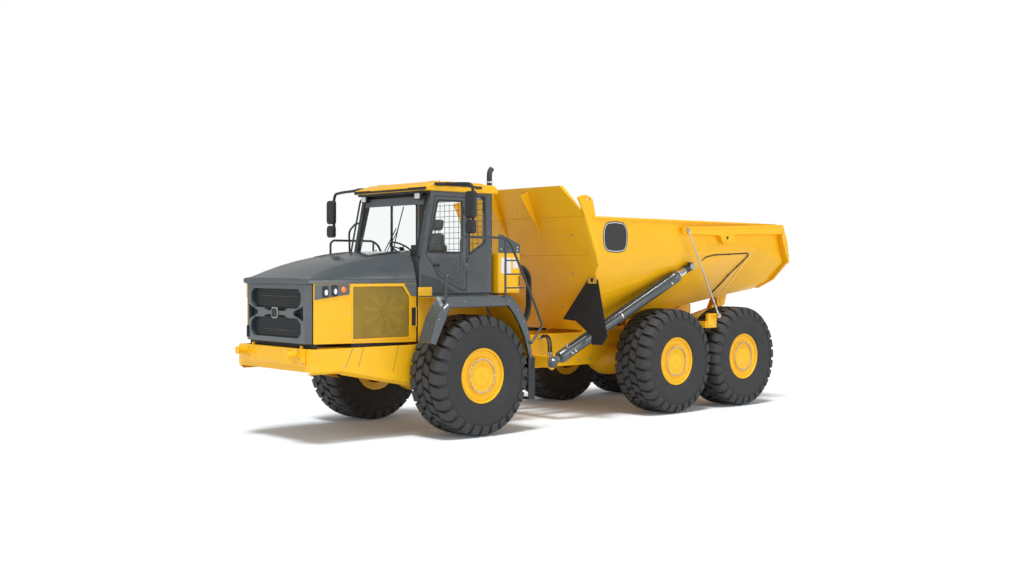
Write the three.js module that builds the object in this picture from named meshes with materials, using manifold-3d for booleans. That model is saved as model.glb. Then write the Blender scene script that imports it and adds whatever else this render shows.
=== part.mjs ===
// Articulated dump truck: front unit with cab and hood, steering and oscillating hitch, rear unit
// with a bogie, a tipping bed and a tailgate that its cables open.
// Millimetres, +Z up, front towards -Y, +X to the machine's left, ground at Z = 0.
import * as THREE from "three";
import { mergeVertices } from "three/addons/utils/BufferGeometryUtils.js";
import Module from "manifold-3d";

const wasm = await Module();
wasm.setup();

// ---- driving dimensions ----
const GAP = 0.3; // between pieces that touch
const RUN = 6; // between pieces that move past each other
const LENGTH = 10800; // tow studs to tailgate
const HALF_LENGTH = LENGTH / 2;
const FRONT_AXLE_Y = -2530;
const HITCH_Y = -972; // steering pin
const MID_AXLE_Y = 2050;
const BOGIE_SPACING = 1950;
const REAR_AXLE_Y = MID_AXLE_Y + BOGIE_SPACING;
const TRACK_HALF = 1385; // wheel centre from the middle plane
const TYRE_RADIUS = 935;
const TYRE_WIDTH = 750;
const TYRE_WALL = 75;
const RIM_RADIUS = 321;
const RIM_WIDTH = 634;
const FLANGE_RADIUS = 420;
const WHEEL_SIDES = 20;
const DISC_WALL = 68;
const HUB_FACE = 60; // inner face of the rim's disc, outboard of the wheel centre
const AXLE_TUBE = 150;
const AXLE_BOWL = 345;
const PAD_TOP = 1110; // top of the axles' spring pads
const RAIL_X = 400; // inner face of the front rails
const RAIL_WIDTH = 120;
const RAIL_TOP = 1400;
const RAIL_BOTTOM = PAD_TOP + 30;
const NOSE_HALF = 1000; // outer face of the nose side plates
const NOSE_FACE_Y = -5230;
const NOSE_BACK_Y = -5190; // front edge of the frame, behind the bumper
const STUD_X = 694;
const STUD_Z = 1330;
const STUD_RADIUS = 60;
const HOOD_HALF = 950;
const HOOD_FRONT_Y = -5150;
const HOOD_REAR_Y = -3230;
const HOOD_BASE_Z = 1480;
const PANEL = 35; // hood sheet with its stiffeners
const GRILLE_DEPTH = 70;
const COWL_Y = -3200; // front of the fixed cowl
const CAB_HALF = 900;
const CAB_WALL = 60;
const CAB_FLOOR_Z = 2190;
const CAB_TOP_Z = 3790;
const CAB_REAR_Y = -1660;
const GLASS = 12;
const ROOF_HALF = 1000;
const ROOF_TOP_Z = 3950;
const DOOR_REAR_Y = -2185;
const DECK_Z = 2160;
const FENDER_HALF = 1720;
const FENDER_SHEET = 30;
const RAIL_TUBE = 20;
const STACK_X = 480;
const STACK_Y = -1340;
const STACK_TIP_Z = 4285;
const STACK_RADIUS = 46;
const GATE_FOOT_Z = 2210;
const MIRROR_X = 1975; // outermost face
const MIRROR_TUBE = 24;
const FAN_Y = -3820;
const FAN_Z = 1930;
const FAN_RADIUS = 430;
const HITCH_Z = 1050; // height of the oscillation axis
const PIN_RADIUS = 70;
const LUG_HALF = 200;
const TRUNNION_RADIUS = 140;
const REAR_RAIL_X = 350;
const REAR_RAIL_WIDTH = 120;
const BOGIE_PIN_RADIUS = 90;
const BEAM_X = 560;
const BEAM_WIDTH = 190;
const BED_HALF = 1630;
const BED_WALL = 35;
const BED_TOP_Z = 3450;
const BED_PIN_Y = 4770;
const BED_PIN_Z = 1950;
const BED_TIP = 70; // degrees
const BED_REAR_Y = 5300;
const GATE_PIVOT_Y = 3425;
const GATE_PIVOT_Z = 3162;
const GATE_ARM = 50;
const GATE_ARM_X = BED_HALF + 60;
const LIFT_BASE = [1050, -400, 1000];
const LIFT_EYE = [1590, 2560, 2630];
const LIFT_RADIUS = 110;
const LIFT_ROD_RADIUS = 62;
const STEER_BASE = [550, -2180, 1050];
const STEER_EYE = [420, -730, 1050];
const STEER_RADIUS = 70;
const STEER_ROD_RADIUS = 35;
const CABLE_X = GATE_ARM_X + GATE_ARM + 24;
const ANCHOR = [CABLE_X, 3170, 1720]; // where the tailgate cable is held on the rear frame
const CABLE_TOP = [CABLE_X, 2270, 3280];
const CABLE_RADIUS = 14;
const HOSE_RADIUS = 45;

// ---- colours ----
const YELLOW = 0xf2b01e;
const CHARCOAL = 0x55595e;
const BLACK = 0x1c1c1c;
const STEEL = 0xb9bcc0;
const GLASS_TINT = 0x9fb4bd;
const finishes = {
  paint: new THREE.MeshStandardMaterial({ color: YELLOW, roughness: 0.35, metalness: 0.1 }),
  charcoal: new THREE.MeshStandardMaterial({ color: CHARCOAL, roughness: 0.4, metalness: 0.1 }),
  black: new THREE.MeshStandardMaterial({ color: BLACK, roughness: 0.6 }),
  rubber: new THREE.MeshStandardMaterial({ color: BLACK, roughness: 0.9 }),
  steel: new THREE.MeshStandardMaterial({ color: STEEL, roughness: 0.25, metalness: 0.9 }),
  glass: new THREE.MeshStandardMaterial({ color: GLASS_TINT, transparent: true, opacity: 0.4 }),
};

// ---- shape helpers ----
const model = new THREE.Group();

function add(name, finish, shape) {
  const mesh = new THREE.Mesh(shape.isBufferGeometry ? shape : geometryOf(shape), finishes[finish]);
  mesh.name = name;
  model.add(mesh);
}

function solid(geometry) {
  const bare = new THREE.BufferGeometry();
  bare.setAttribute("position", geometry.getAttribute("position").clone());
  if (geometry.index) bare.setIndex(geometry.index.clone());
  const merged = mergeVertices(bare, 1e-3);
  return new wasm.Manifold(
    new wasm.Mesh({
      numProp: 3,
      vertProperties: new Float32Array(merged.getAttribute("position").array),
      triVerts: new Uint32Array(merged.index.array),
    }),
  );
}

function geometryOf(manifold) {
  const mesh = manifold.getMesh();
  const geometry = new THREE.BufferGeometry();
  geometry.setAttribute("position", new THREE.BufferAttribute(new Float32Array(mesh.vertProperties), 3));
  geometry.setIndex(new THREE.BufferAttribute(new Uint32Array(mesh.triVerts), 1));
  return geometry;
}

const join = (...shapes) => shapes.reduce((whole, next) => whole.add(next));
const cut = (shape, ...tools) => tools.reduce((rest, tool) => rest.subtract(tool), shape);

function box(x, y, z) {
  const geometry = new THREE.BoxGeometry(x[1] - x[0], y[1] - y[0], z[1] - z[0]);
  geometry.translate((x[0] + x[1]) / 2, (y[0] + y[1]) / 2, (z[0] + z[1]) / 2);
  return solid(geometry);
}

// An outline of [a, b] points, extruded along Z and then turned so that a and b lie where asked.
function extruded(outline, depth) {
  const shape = new THREE.Shape(outline.map(([a, b]) => new THREE.Vector2(a, b)));
  return new THREE.ExtrudeGeometry(shape, { depth, bevelEnabled: false });
}

// Outline in Y and Z, extruded from x[0] to x[1].
function slabX(outline, x) {
  const geometry = extruded(outline, x[1] - x[0]);
  const turn = new THREE.Matrix4().set(0, 0, 1, x[0], 1, 0, 0, 0, 0, 1, 0, 0, 0, 0, 0, 1);
  return solid(geometry.applyMatrix4(turn));
}

// Outline in X and Z, extruded from y[0] to y[1].
function slabY(outline, y) {
  const geometry = extruded(outline, y[1] - y[0]);
  const turn = new THREE.Matrix4().set(1, 0, 0, 0, 0, 0, -1, y[1], 0, 1, 0, 0, 0, 0, 0, 1);
  return solid(geometry.applyMatrix4(turn));
}

// Outline in X and Y, extruded from z[0] to z[1].
function slabZ(outline, z) {
  const geometry = extruded(outline, z[1] - z[0]);
  geometry.translate(0, 0, z[0]);
  return solid(geometry);
}

// A round bar between two points.
function bar(from, to, radius, sides = 12) {
  const start = new THREE.Vector3(...from);
  const run = new THREE.Vector3(...to).sub(start);
  const geometry = new THREE.CylinderGeometry(radius, radius, run.length(), sides);
  geometry.translate(0, run.length() / 2, 0);
  const up = new THREE.Vector3(0, 1, 0);
  geometry.applyQuaternion(new THREE.Quaternion().setFromUnitVectors(up, run.normalize()));
  geometry.translate(start.x, start.y, start.z);
  return solid(geometry);
}

// A profile of [along, radius] points turned about a line parallel to X.
function turned(profile, centre, sides = WHEEL_SIDES) {
  const points = profile.map(([along, radius]) => new THREE.Vector2(radius, along));
  const geometry = new THREE.LatheGeometry(points, sides, Math.PI / sides);
  geometry.rotateZ(-Math.PI / 2);
  geometry.translate(...centre);
  const made = solid(geometry);
  return made.volume() < 0 ? solid(flipped(geometry)) : made;
}

function flipped(geometry) {
  const index = geometry.index.array;
  for (let i = 0; i < index.length; i += 3) [index[i + 1], index[i + 2]] = [index[i + 2], index[i + 1]];
  return geometry;
}

class Route extends THREE.Curve {
  constructor(points) {
    super();
    this.stops = points.map((p) => new THREE.Vector3(...p));
  }
  getPoint(t) {
    const along = t * (this.stops.length - 1);
    const i = Math.min(Math.floor(along), this.stops.length - 2);
    return this.stops[i].clone().lerp(this.stops[i + 1], along - i);
  }
  getPointAt(u) {
    return this.getPoint(u);
  }
  getTangentAt(u) {
    return this.getTangent(u);
  }
}

function circle(radius, sides) {
  return Array.from({ length: sides }, (_, i) => {
    const angle = (2 * Math.PI * i) / sides;
    return [radius * Math.cos(angle), radius * Math.sin(angle)];
  });
}

// A bent tube through the points given.
function tube(points, radius, sides = 8) {
  const shape = new THREE.Shape(circle(radius, sides).map(([a, b]) => new THREE.Vector2(a, b)));
  const options = { steps: points.length - 1, extrudePath: new Route(points), bevelEnabled: false };
  return solid(new THREE.ExtrudeGeometry(shape, options));
}

// A skin over rings that all have the same number of points, closed at both ends.
function lofted(rings) {
  const count = rings[0].length;
  const positions = rings.flat(2);
  const index = [];
  for (let r = 0; r + 1 < rings.length; r++) {
    for (let i = 0; i < count; i++) {
      const a = r * count + i;
      const b = r * count + ((i + 1) % count);
      index.push(a, b, b + count, a, b + count, a + count);
    }
  }
  const flat = rings[0].map(([x, , z]) => new THREE.Vector2(x, z));
  const last = (rings.length - 1) * count;
  for (const [a, b, c] of THREE.ShapeUtils.triangulateShape(flat, [])) {
    index.push(a, c, b);
    index.push(last + a, last + b, last + c);
  }
  const geometry = new THREE.BufferGeometry();
  geometry.setAttribute("position", new THREE.Float32BufferAttribute(positions, 3));
  geometry.setIndex(index);
  const made = solid(geometry);
  return made.volume() < 0 ? solid(flipped(geometry)) : made;
}

const mirrored = (shape) => shape.mirror([1, 0, 0]);
const both = (shape) => join(shape, mirrored(shape));

function addPair(name, finish, shape) {
  add("left_" + name, finish, shape);
  add("right_" + name, finish, mirrored(shape));
}

const between = (from, to, share) => from.map((a, i) => a + (to[i] - a) * share);
const distance = (from, to) => Math.hypot(...from.map((a, i) => to[i] - a));

// ---- wheels ----
const tyreCircle = TYRE_RADIUS / Math.cos(Math.PI / WHEEL_SIDES);

function tyre(centre) {
  const half = TYRE_WIDTH / 2;
  const bead = RIM_WIDTH / 2 - 20;
  const seat = RIM_RADIUS + GAP;
  const profile = [
    [-bead, seat],
    [-bead, FLANGE_RADIUS + 10],
    [-half, 660],
    [-half + 25, 880],
    [-half + 95, tyreCircle],
    [half - 95, tyreCircle],
    [half - 25, 880],
    [half, 660],
    [bead, FLANGE_RADIUS + 10],
    [bead, seat],
    [bead - TYRE_WALL, seat],
    [half - TYRE_WALL, 660],
    [half - 2 * TYRE_WALL, 830],
    [-half + 2 * TYRE_WALL, 830],
    [-half + TYRE_WALL, 660],
    [-bead + TYRE_WALL, seat],
    [-bead, seat],
  ];
  return turned(profile, centre);
}

function rim(centre, side) {
  const half = RIM_WIDTH / 2;
  const flange = 17;
  const disc = half - 19;
  const profile = [
    [disc, 0],
    [disc - 8, 215],
    [disc, 232],
    [disc, 262],
    [disc - 18, 280],
    [half - flange, FLANGE_RADIUS - 39],
    [half, FLANGE_RADIUS - 20],
    [half, FLANGE_RADIUS],
    [half - flange, FLANGE_RADIUS],
    [half - flange, RIM_RADIUS],
    [-half + flange, RIM_RADIUS],
    [-half + flange, FLANGE_RADIUS],
    [-half, FLANGE_RADIUS],
    [-half, 300],
    [disc - DISC_WALL, 285],
    [disc - DISC_WALL, 190],
    [HUB_FACE, 180],
    [HUB_FACE, 0],
  ];
  return turned(profile.map(([along, radius]) => [side * along, radius]), centre);
}

const wheelPlaces = { front: FRONT_AXLE_Y, mid: MID_AXLE_Y, rear: REAR_AXLE_Y };
for (const [row, y] of Object.entries(wheelPlaces)) {
  for (const [name, side] of [["left", 1], ["right", -1]]) {
    const centre = [side * TRACK_HALF, y, TYRE_RADIUS];
    add(`${row}_${name}_tyre`, "rubber", tyre(centre));
    add(`${row}_${name}_rim`, "paint", rim(centre, side));
  }
}

// ---- axles ----
function axle(y) {
  const end = TRACK_HALF + HUB_FACE - GAP;
  const half = [
    [-end, 0],
    [-end, 190],
    [-TRACK_HALF + 280, 240],
    [-TRACK_HALF + 400, 250],
    [-TRACK_HALF + 420, AXLE_TUBE + 10],
    [-AXLE_BOWL - 60, AXLE_TUBE],
    [-AXLE_BOWL + 60, AXLE_BOWL - 60],
    [-120, AXLE_BOWL],
  ];
  const whole = [...half, ...half.map(([along, radius]) => [-along, radius]).reverse()];
  return turned(whole, [0, y, TYRE_RADIUS], 16);
}

function springPad(x, y) {
  return box([x[0], x[1]], [y - 110, y + 110], [TYRE_RADIUS, PAD_TOP]);
}

const frontPad = [RAIL_X, RAIL_X + RAIL_WIDTH];
const beamSpan = [BEAM_X, BEAM_X + BEAM_WIDTH];
add("front_axle", "paint", join(axle(FRONT_AXLE_Y), both(springPad(frontPad, FRONT_AXLE_Y))));
const shaftRadius = 55;
add(
  "mid_axle",
  "paint",
  join(
    axle(MID_AXLE_Y),
    both(springPad(beamSpan, MID_AXLE_Y)),
    bar([0, MID_AXLE_Y - 100, TYRE_RADIUS], [0, 20, TYRE_RADIUS + 60], shaftRadius),
  ),
);
add(
  "rear_axle",
  "paint",
  join(
    axle(REAR_AXLE_Y),
    both(springPad(beamSpan, REAR_AXLE_Y)),
    bar([0, REAR_AXLE_Y - 100, TYRE_RADIUS], [0, MID_AXLE_Y + AXLE_BOWL + 40, TYRE_RADIUS], shaftRadius),
  ),
);

// ---- bogie beams ----
const beamBottom = PAD_TOP + GAP;
const bogieY = (MID_AXLE_Y + REAR_AXLE_Y) / 2;
const bogieZ = beamBottom + 110;
const beamOutline = [
  [MID_AXLE_Y - 140, beamBottom],
  [REAR_AXLE_Y + 140, beamBottom],
  [REAR_AXLE_Y + 140, beamBottom + 90],
  [bogieY + 200, beamBottom + 230],
  [bogieY - 200, beamBottom + 230],
  [MID_AXLE_Y - 140, beamBottom + 90],
];
const pinBore = (radius) => bar([BEAM_X - 300, bogieY, bogieZ], [BEAM_X + 400, bogieY, bogieZ], radius);
addPair("bogie_beam", "paint", cut(slabX(beamOutline, beamSpan), pinBore(BOGIE_PIN_RADIUS + GAP)));

// ---- front frame: rails, nose side plates, hitch lugs ----
const lugTop = HITCH_Z + 230;
const lugBottom = HITCH_Z - 230;
const lugSheet = 80;

function hitchLug(z) {
  const outline = [
    [-LUG_HALF, HITCH_Y - 500],
    [LUG_HALF, HITCH_Y - 500],
    [LUG_HALF, HITCH_Y],
    [LUG_HALF / 2, HITCH_Y + 160],
    [-LUG_HALF / 2, HITCH_Y + 160],
    [-LUG_HALF, HITCH_Y],
  ];
  return slabZ(outline, z);
}

const railOuter = RAIL_X + RAIL_WIDTH;
const noseFoot = 1080;
const noseTop = 1410;
const noseOutline = [
  [NOSE_BACK_Y, noseFoot],
  [-4640, noseFoot],
  [-4590, 1060],
  [-3400, 830],
  [-3210, 900],
  [-2990, noseTop],
  [NOSE_BACK_Y, noseTop],
];
const noseSide = slabX(noseOutline, [NOSE_HALF - 30, NOSE_HALF]);
const noseShelf = box([-NOSE_HALF, NOSE_HALF], [NOSE_BACK_Y, -5100], [noseFoot, noseTop]);
const rearTie = box([-NOSE_HALF, NOSE_HALF], [-3330, -3250], [RAIL_BOTTOM, RAIL_TOP]);
const towerY = [HITCH_Y - 560, HITCH_Y - 440];
const hitchTower = join(
  box([-330, 330], towerY, [lugBottom - lugSheet, RAIL_TOP]),
  box([-railOuter, railOuter], towerY, [RAIL_BOTTOM, RAIL_TOP]),
);
const steerPin = (radius) => bar([0, HITCH_Y, lugBottom - 200], [0, HITCH_Y, lugTop + 200], radius, 24);
const hoseBracketTop = RAIL_TOP + 150;
const hoseBracket = box([-railOuter, HOOD_HALF], towerY, [RAIL_TOP - 10, hoseBracketTop]);
const steerMountY = [STEER_BASE[1] - 80, STEER_BASE[1] + 60];
const steerMountX = [RAIL_X + 60, STEER_BASE[0] + 90];
const steerPlateZ = [STEER_BASE[2] - 90, RAIL_BOTTOM];
const steerMount = join(
  box(steerMountX, steerMountY, [steerPlateZ[1], steerPlateZ[1] + 60]),
  box(steerMountX, steerMountY, [steerPlateZ[0] - 20, steerPlateZ[0]]),
  box([steerMountX[0], steerMountX[0] + 30], steerMountY, [steerPlateZ[0] - 20, steerPlateZ[1] + 60]),
);
const hoodHinge = { y: HOOD_FRONT_Y + 30, z: HOOD_BASE_Z - 40 };
const hoodEarX = [600, 640];
const hoodPinEnd = hoodEarX[1] + 60;
const hoodPin = join(
  bar([hoodEarX[1] + GAP, hoodHinge.y, hoodHinge.z], [hoodPinEnd, hoodHinge.y, hoodHinge.z], 12),
  box([hoodPinEnd - 40, hoodPinEnd], [hoodHinge.y - 20, hoodHinge.y + 18], [hoodHinge.z - 40, hoodHinge.z]),
);
const frontFrame = join(
  both(hoodPin),
  both(box([RAIL_X, railOuter], [NOSE_BACK_Y, towerY[1]], [RAIL_BOTTOM, RAIL_TOP])),
  both(box([RAIL_X, railOuter], [FRONT_AXLE_Y - 110, FRONT_AXLE_Y + 110], [PAD_TOP + GAP, RAIL_TOP])),
  both(noseSide),
  noseShelf,
  rearTie,
  hitchTower,
  hitchLug([lugTop, lugTop + lugSheet]),
  hitchLug([lugBottom - lugSheet, lugBottom]),
  both(steerMount),
  hoseBracket,
);
add("front_frame", "paint", cut(frontFrame, steerPin(PIN_RADIUS + 2)));

// ---- bumper with tow studs ----
const bumperOutline = [
  [-900, NOSE_BACK_Y - GAP],
  [-900, NOSE_FACE_Y + 15],
  [-800, NOSE_FACE_Y],
  [800, NOSE_FACE_Y],
  [900, NOSE_FACE_Y + 15],
  [900, NOSE_BACK_Y - GAP],
];
const stud = bar([STUD_X, NOSE_FACE_Y + 20, STUD_Z], [STUD_X, -HALF_LENGTH, STUD_Z], STUD_RADIUS);
add("front_bumper", "paint", join(slabZ(bumperOutline, [1170, noseTop]), both(stud)));

// ---- engine and gearbox, cooling pack, fan ----
const blockFloor = RAIL_TOP + GAP;
add(
  "powertrain",
  "charcoal",
  join(
    box([-railOuter + 60, RAIL_X - 20], [-4900, COWL_Y - 60], [blockFloor, 2200]),
    box([-railOuter + 60, railOuter - 60], [-4900, -1700], [blockFloor, blockFloor + 40]),
    box([-340, 340], [COWL_Y - 70, -1700], [blockFloor, 1980]),
  ),
);
const packX = [460, HOOD_HALF - PANEL - 55];
const packY = [FAN_Y - 560, FAN_Y + 480];
const fanDepth = 190;
const fanBack = packX[1] - fanDepth;
const coolingPack = cut(
  box(packX, packY, [blockFloor, FAN_Z + 420]),
  bar([fanBack, FAN_Y, FAN_Z], [packX[1] + 10, FAN_Y, FAN_Z], FAN_RADIUS, 24),
);
const fanBoss = bar([fanBack - 20, FAN_Y, FAN_Z], [fanBack + 60, FAN_Y, FAN_Z], 90);
const packFeet = box([RAIL_X - 18, packX[0] + 10], packY, [blockFloor + 41, blockFloor + 100]);
const gearboxRoom = box([packX[0] - 1, railOuter - 59], packY, [0, blockFloor + 41]);
add("cooling_pack", "black", join(cut(coolingPack, gearboxRoom), fanBoss, packFeet));
const fanBlades = Array.from({ length: 7 }, (_, i) => {
  const blade = box([fanBack + 80, fanBack + 100], [-55, 55], [60, FAN_RADIUS - 15]);
  return blade.rotate([(360 * i) / 7, 0, 0]).translate([0, FAN_Y, FAN_Z]);
});
const fanHub = bar([fanBack + 60 + GAP, FAN_Y, FAN_Z], [fanBack + 130, FAN_Y, FAN_Z], 95);
add("cooling_fan", "black", join(fanHub, ...fanBlades));

// ---- hood: top, grille, side panels (all tip forward together) ----
const hoodSection = (y, low, high, half) => [
  [-half, y, low],
  [half, y, low],
  [half, y, low + 40],
  [half * 0.82, y, high],
  [-half * 0.82, y, high],
  [-half, y, low + 40],
];
const hoodBrow = HOOD_FRONT_Y - 10;
const hoodLow = 2350;
const hoodCrown = [
  { y: hoodBrow, top: 2430, half: HOOD_HALF - 30 },
  { y: HOOD_FRONT_Y + 380, top: 2620, half: HOOD_HALF },
  { y: HOOD_FRONT_Y + 1250, top: 2800, half: HOOD_HALF },
  { y: HOOD_REAR_Y, top: 2850, half: HOOD_HALF },
];
const hoodOuter = lofted(hoodCrown.map(({ y, top, half }) => hoodSection(y, hoodLow, top, half)));
const hoodInnerY = [hoodBrow + 60, hoodCrown[1].y, hoodCrown[2].y, HOOD_REAR_Y + 1];
const hoodInner = lofted(
  hoodCrown.map(({ top, half }, i) => hoodSection(hoodInnerY[i], hoodLow - 50, top - PANEL, half - PANEL)),
);
add("hood_top", "charcoal", cut(hoodOuter, hoodInner));

const panelTop = hoodLow - GAP;
const grilleBack = HOOD_FRONT_Y + GRILLE_DEPTH;
const grilleBase = box([-900, 900], [HOOD_FRONT_Y, grilleBack], [HOOD_BASE_Z, panelTop]);
const hoodEar = box(hoodEarX, [hoodHinge.y - 20, hoodHinge.y + 30], [hoodHinge.z - 15, HOOD_BASE_Z + 5]);
const grilleHole = (x, z) => box(x, [HOOD_FRONT_Y - 10, grilleBack + 10], z);
add(
  "grille",
  "charcoal",
  cut(
    join(grilleBase, both(hoodEar)),
    both(grilleHole([90, 760], [2000, 2260])),
    both(grilleHole([90, 760], [1570, 1830])),
  ),
);

const panelOutline = [
  [grilleBack + GAP, HOOD_BASE_Z],
  [HOOD_REAR_Y, HOOD_BASE_Z - 30],
  [HOOD_REAR_Y, panelTop],
  [grilleBack + GAP, panelTop],
];
const screenOutline = [
  [-4425, 1520],
  [-3270, 1520],
  [-3270, 2160],
  [-3420, 2310],
  [-4425, 2310],
];
const panelX = [HOOD_HALF - PANEL, HOOD_HALF];
const sidePanel = cut(slabX(panelOutline, panelX), slabX(screenOutline, [HOOD_HALF - 100, HOOD_HALF - 12]));
addPair("side_panel", "paint", sidePanel);

// ---- cab: shell with cowl, roof, glass, door, seat, dashboard ----
const cabFrontFoot = -3140;
const cabFrontHead = -2920;
const screenFootZ = 2710;
const cabSide = [
  [cabFrontFoot, CAB_FLOOR_Z],
  [CAB_REAR_Y, CAB_FLOOR_Z],
  [CAB_REAR_Y, CAB_TOP_Z],
  [cabFrontHead, CAB_TOP_Z],
  [cabFrontFoot, screenFootZ],
];
const cabRoom = [
  [cabFrontFoot + CAB_WALL, CAB_FLOOR_Z + CAB_WALL],
  [CAB_REAR_Y - CAB_WALL, CAB_FLOOR_Z + CAB_WALL],
  [CAB_REAR_Y - CAB_WALL, CAB_TOP_Z + 50],
  [cabFrontHead + CAB_WALL + 10, CAB_TOP_Z + 50],
  [cabFrontHead + CAB_WALL, CAB_TOP_Z],
  [cabFrontFoot + CAB_WALL, screenFootZ],
];
const doorOutline = [
  [-2835, 3720],
  [-3015, 2800],
  [-2760, 2460],
  [-2330, 2235],
  [DOOR_REAR_Y, 2235],
  [DOOR_REAR_Y, 3720],
];
const doorGlass = [
  [-2780, 3650],
  [-2978, 2830],
  [DOOR_REAR_Y - 90, 2830],
  [DOOR_REAR_Y - 90, 3650],
];
const quarterOutline = [
  [-2130, 3740],
  [-2140, 2800],
  [-1800, 3000],
  [-1800, 3740],
];
const rightOutline = [
  [-2800, 3700],
  [-3020, 2830],
  [-1800, 2830],
  [-1800, 3700],
];
const frontGlassZ = [2790, 3740];
const rearGlassZ = [2830, 3700];
const glassHalf = CAB_HALF - 90;

// Moves an outline's points towards its middle by about the distance given.
function shrunk(outline, by) {
  const middle = [0, 1].map((k) => outline.reduce((sum, p) => sum + p[k], 0) / outline.length);
  return outline.map((p, i) => {
    const before = outline[(i + outline.length - 1) % outline.length];
    const after = outline[(i + 1) % outline.length];
    const edges = [before, after].map((q) => {
      const length = Math.hypot(q[0] - p[0], q[1] - p[1]);
      return [(q[0] - p[0]) / length, (q[1] - p[1]) / length];
    });
    const sine = Math.abs(edges[0][0] * edges[1][1] - edges[0][1] * edges[1][0]);
    const move = [0, 1].map((k) => ((edges[0][k] + edges[1][k]) * by) / sine);
    const inward = move[0] * (middle[0] - p[0]) + move[1] * (middle[1] - p[1]) > 0 ? 1 : -1;
    return [p[0] + inward * move[0], p[1] + inward * move[1]];
  });
}

const screenLean = (cabFrontHead - cabFrontFoot) / (CAB_TOP_Z - screenFootZ);
const screenY = (z) => cabFrontFoot + (z - screenFootZ) * screenLean;
const paneOf = (z, from, to) => [
  [screenY(z[0]) + from, z[0]],
  [screenY(z[0]) + to, z[0]],
  [screenY(z[1]) + to, z[1]],
  [screenY(z[1]) + from, z[1]],
];
const cowlZ = [1450, 2240];
const cowlTie = box([-HOOD_HALF, HOOD_HALF], [COWL_Y, cabFrontFoot + 60], cowlZ);
const cowlSide = [
  [COWL_Y, cowlZ[0]],
  [-2930, cowlZ[0]],
  [-2910, cowlZ[1]],
  [COWL_Y, cowlZ[1]],
];
const cowl = cut(
  join(cowlTie, both(slabX(cowlSide, [HOOD_HALF - PANEL, HOOD_HALF]))),
  box([-420, 420], [COWL_Y - 10, cabFrontFoot + 70], [1400, 2050]),
);
const cabMounts = both(box([railOuter - 40, railOuter + 60], [-3190, -3090], [RAIL_TOP + GAP, 1500]));
let cabShell = slabX(cabSide, [-CAB_HALF, CAB_HALF]);
cabShell = cut(
  cabShell,
  slabX(cabRoom, [-CAB_HALF + CAB_WALL, CAB_HALF - CAB_WALL]),
  slabX(doorOutline, [CAB_HALF - CAB_WALL - 10, CAB_HALF + 10]),
  slabX(quarterOutline, [CAB_HALF - CAB_WALL - 10, CAB_HALF + 10]),
  slabX(rightOutline, [-CAB_HALF - 10, -CAB_HALF + CAB_WALL + 10]),
  slabX(paneOf(frontGlassZ, -20, CAB_WALL + 40), [-glassHalf, glassHalf]),
  box([-glassHalf, glassHalf], [CAB_REAR_Y - CAB_WALL - 10, CAB_REAR_Y + 10], rearGlassZ),
);

const roofOutline = [
  [-3070, CAB_TOP_Z + GAP],
  [-1580, CAB_TOP_Z + GAP],
  [-1580, ROOF_TOP_Z - 60],
  [-1640, ROOF_TOP_Z],
  [-2850, ROOF_TOP_Z],
  [-3070, ROOF_TOP_Z - 90],
];
add("cab_roof", "paint", slabX(roofOutline, [-ROOF_HALF, ROOF_HALF]));

const windshieldZ = [frontGlassZ[0] + GAP, frontGlassZ[1] - GAP];
const paneIn = CAB_WALL / 2;
add(
  "windshield",
  "glass",
  slabX(paneOf(windshieldZ, paneIn, paneIn + GLASS), [-glassHalf + GAP, glassHalf - GAP]),
);
const paneX = [CAB_HALF - paneIn - GLASS, CAB_HALF - paneIn];
add("left_quarter_window", "glass", slabX(shrunk(quarterOutline, GAP), paneX));
add("right_window", "glass", slabX(shrunk(rightOutline, GAP), [-paneX[1], -paneX[0]]));
add(
  "rear_window",
  "glass",
  box(
    [-glassHalf + GAP, glassHalf - GAP],
    [CAB_REAR_Y - paneIn - GLASS, CAB_REAR_Y - paneIn],
    [rearGlassZ[0] + GAP, rearGlassZ[1] - GAP],
  ),
);

// The door hangs on a vertical hinge at its rear edge, outside the cab's side.
const doorLeaf = cut(
  slabX(shrunk(doorOutline, RUN), [CAB_HALF - CAB_WALL + 10, CAB_HALF]),
  slabX(doorGlass, [CAB_HALF - CAB_WALL - 10, CAB_HALF + 10]),
);
const hingeX = CAB_HALF + 18;
const hingeY = DOOR_REAR_Y + 20;
const hingeTop = [3500, 2600];
const doorKnuckles = hingeTop.map((z) =>
  join(
    bar([hingeX, hingeY, z - 60], [hingeX, hingeY, z + 60], 14, 12),
    box([CAB_HALF - 5, hingeX], [DOOR_REAR_Y - 60, DOOR_REAR_Y - 10], [z - 60, z + 60]),
    box([CAB_HALF + RUN, hingeX], [DOOR_REAR_Y - 60, hingeY], [z - 60, z + 60]),
  ),
);
const jambKnuckles = hingeTop.map((z) =>
  join(
    bar([hingeX, hingeY, z + 60 + GAP], [hingeX, hingeY, z + 110], 14, 12),
    box([CAB_HALF - 5, hingeX], [hingeY - 12, hingeY + 12], [z + 60 + GAP, z + 110]),
  ),
);
add("cab_shell", "charcoal", join(cabShell, cowl, cabMounts, ...jambKnuckles));
add("cab_door", "charcoal", join(doorLeaf, ...doorKnuckles));
add("door_window", "glass", slabX(shrunk(doorGlass, GAP), paneX));

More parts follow.
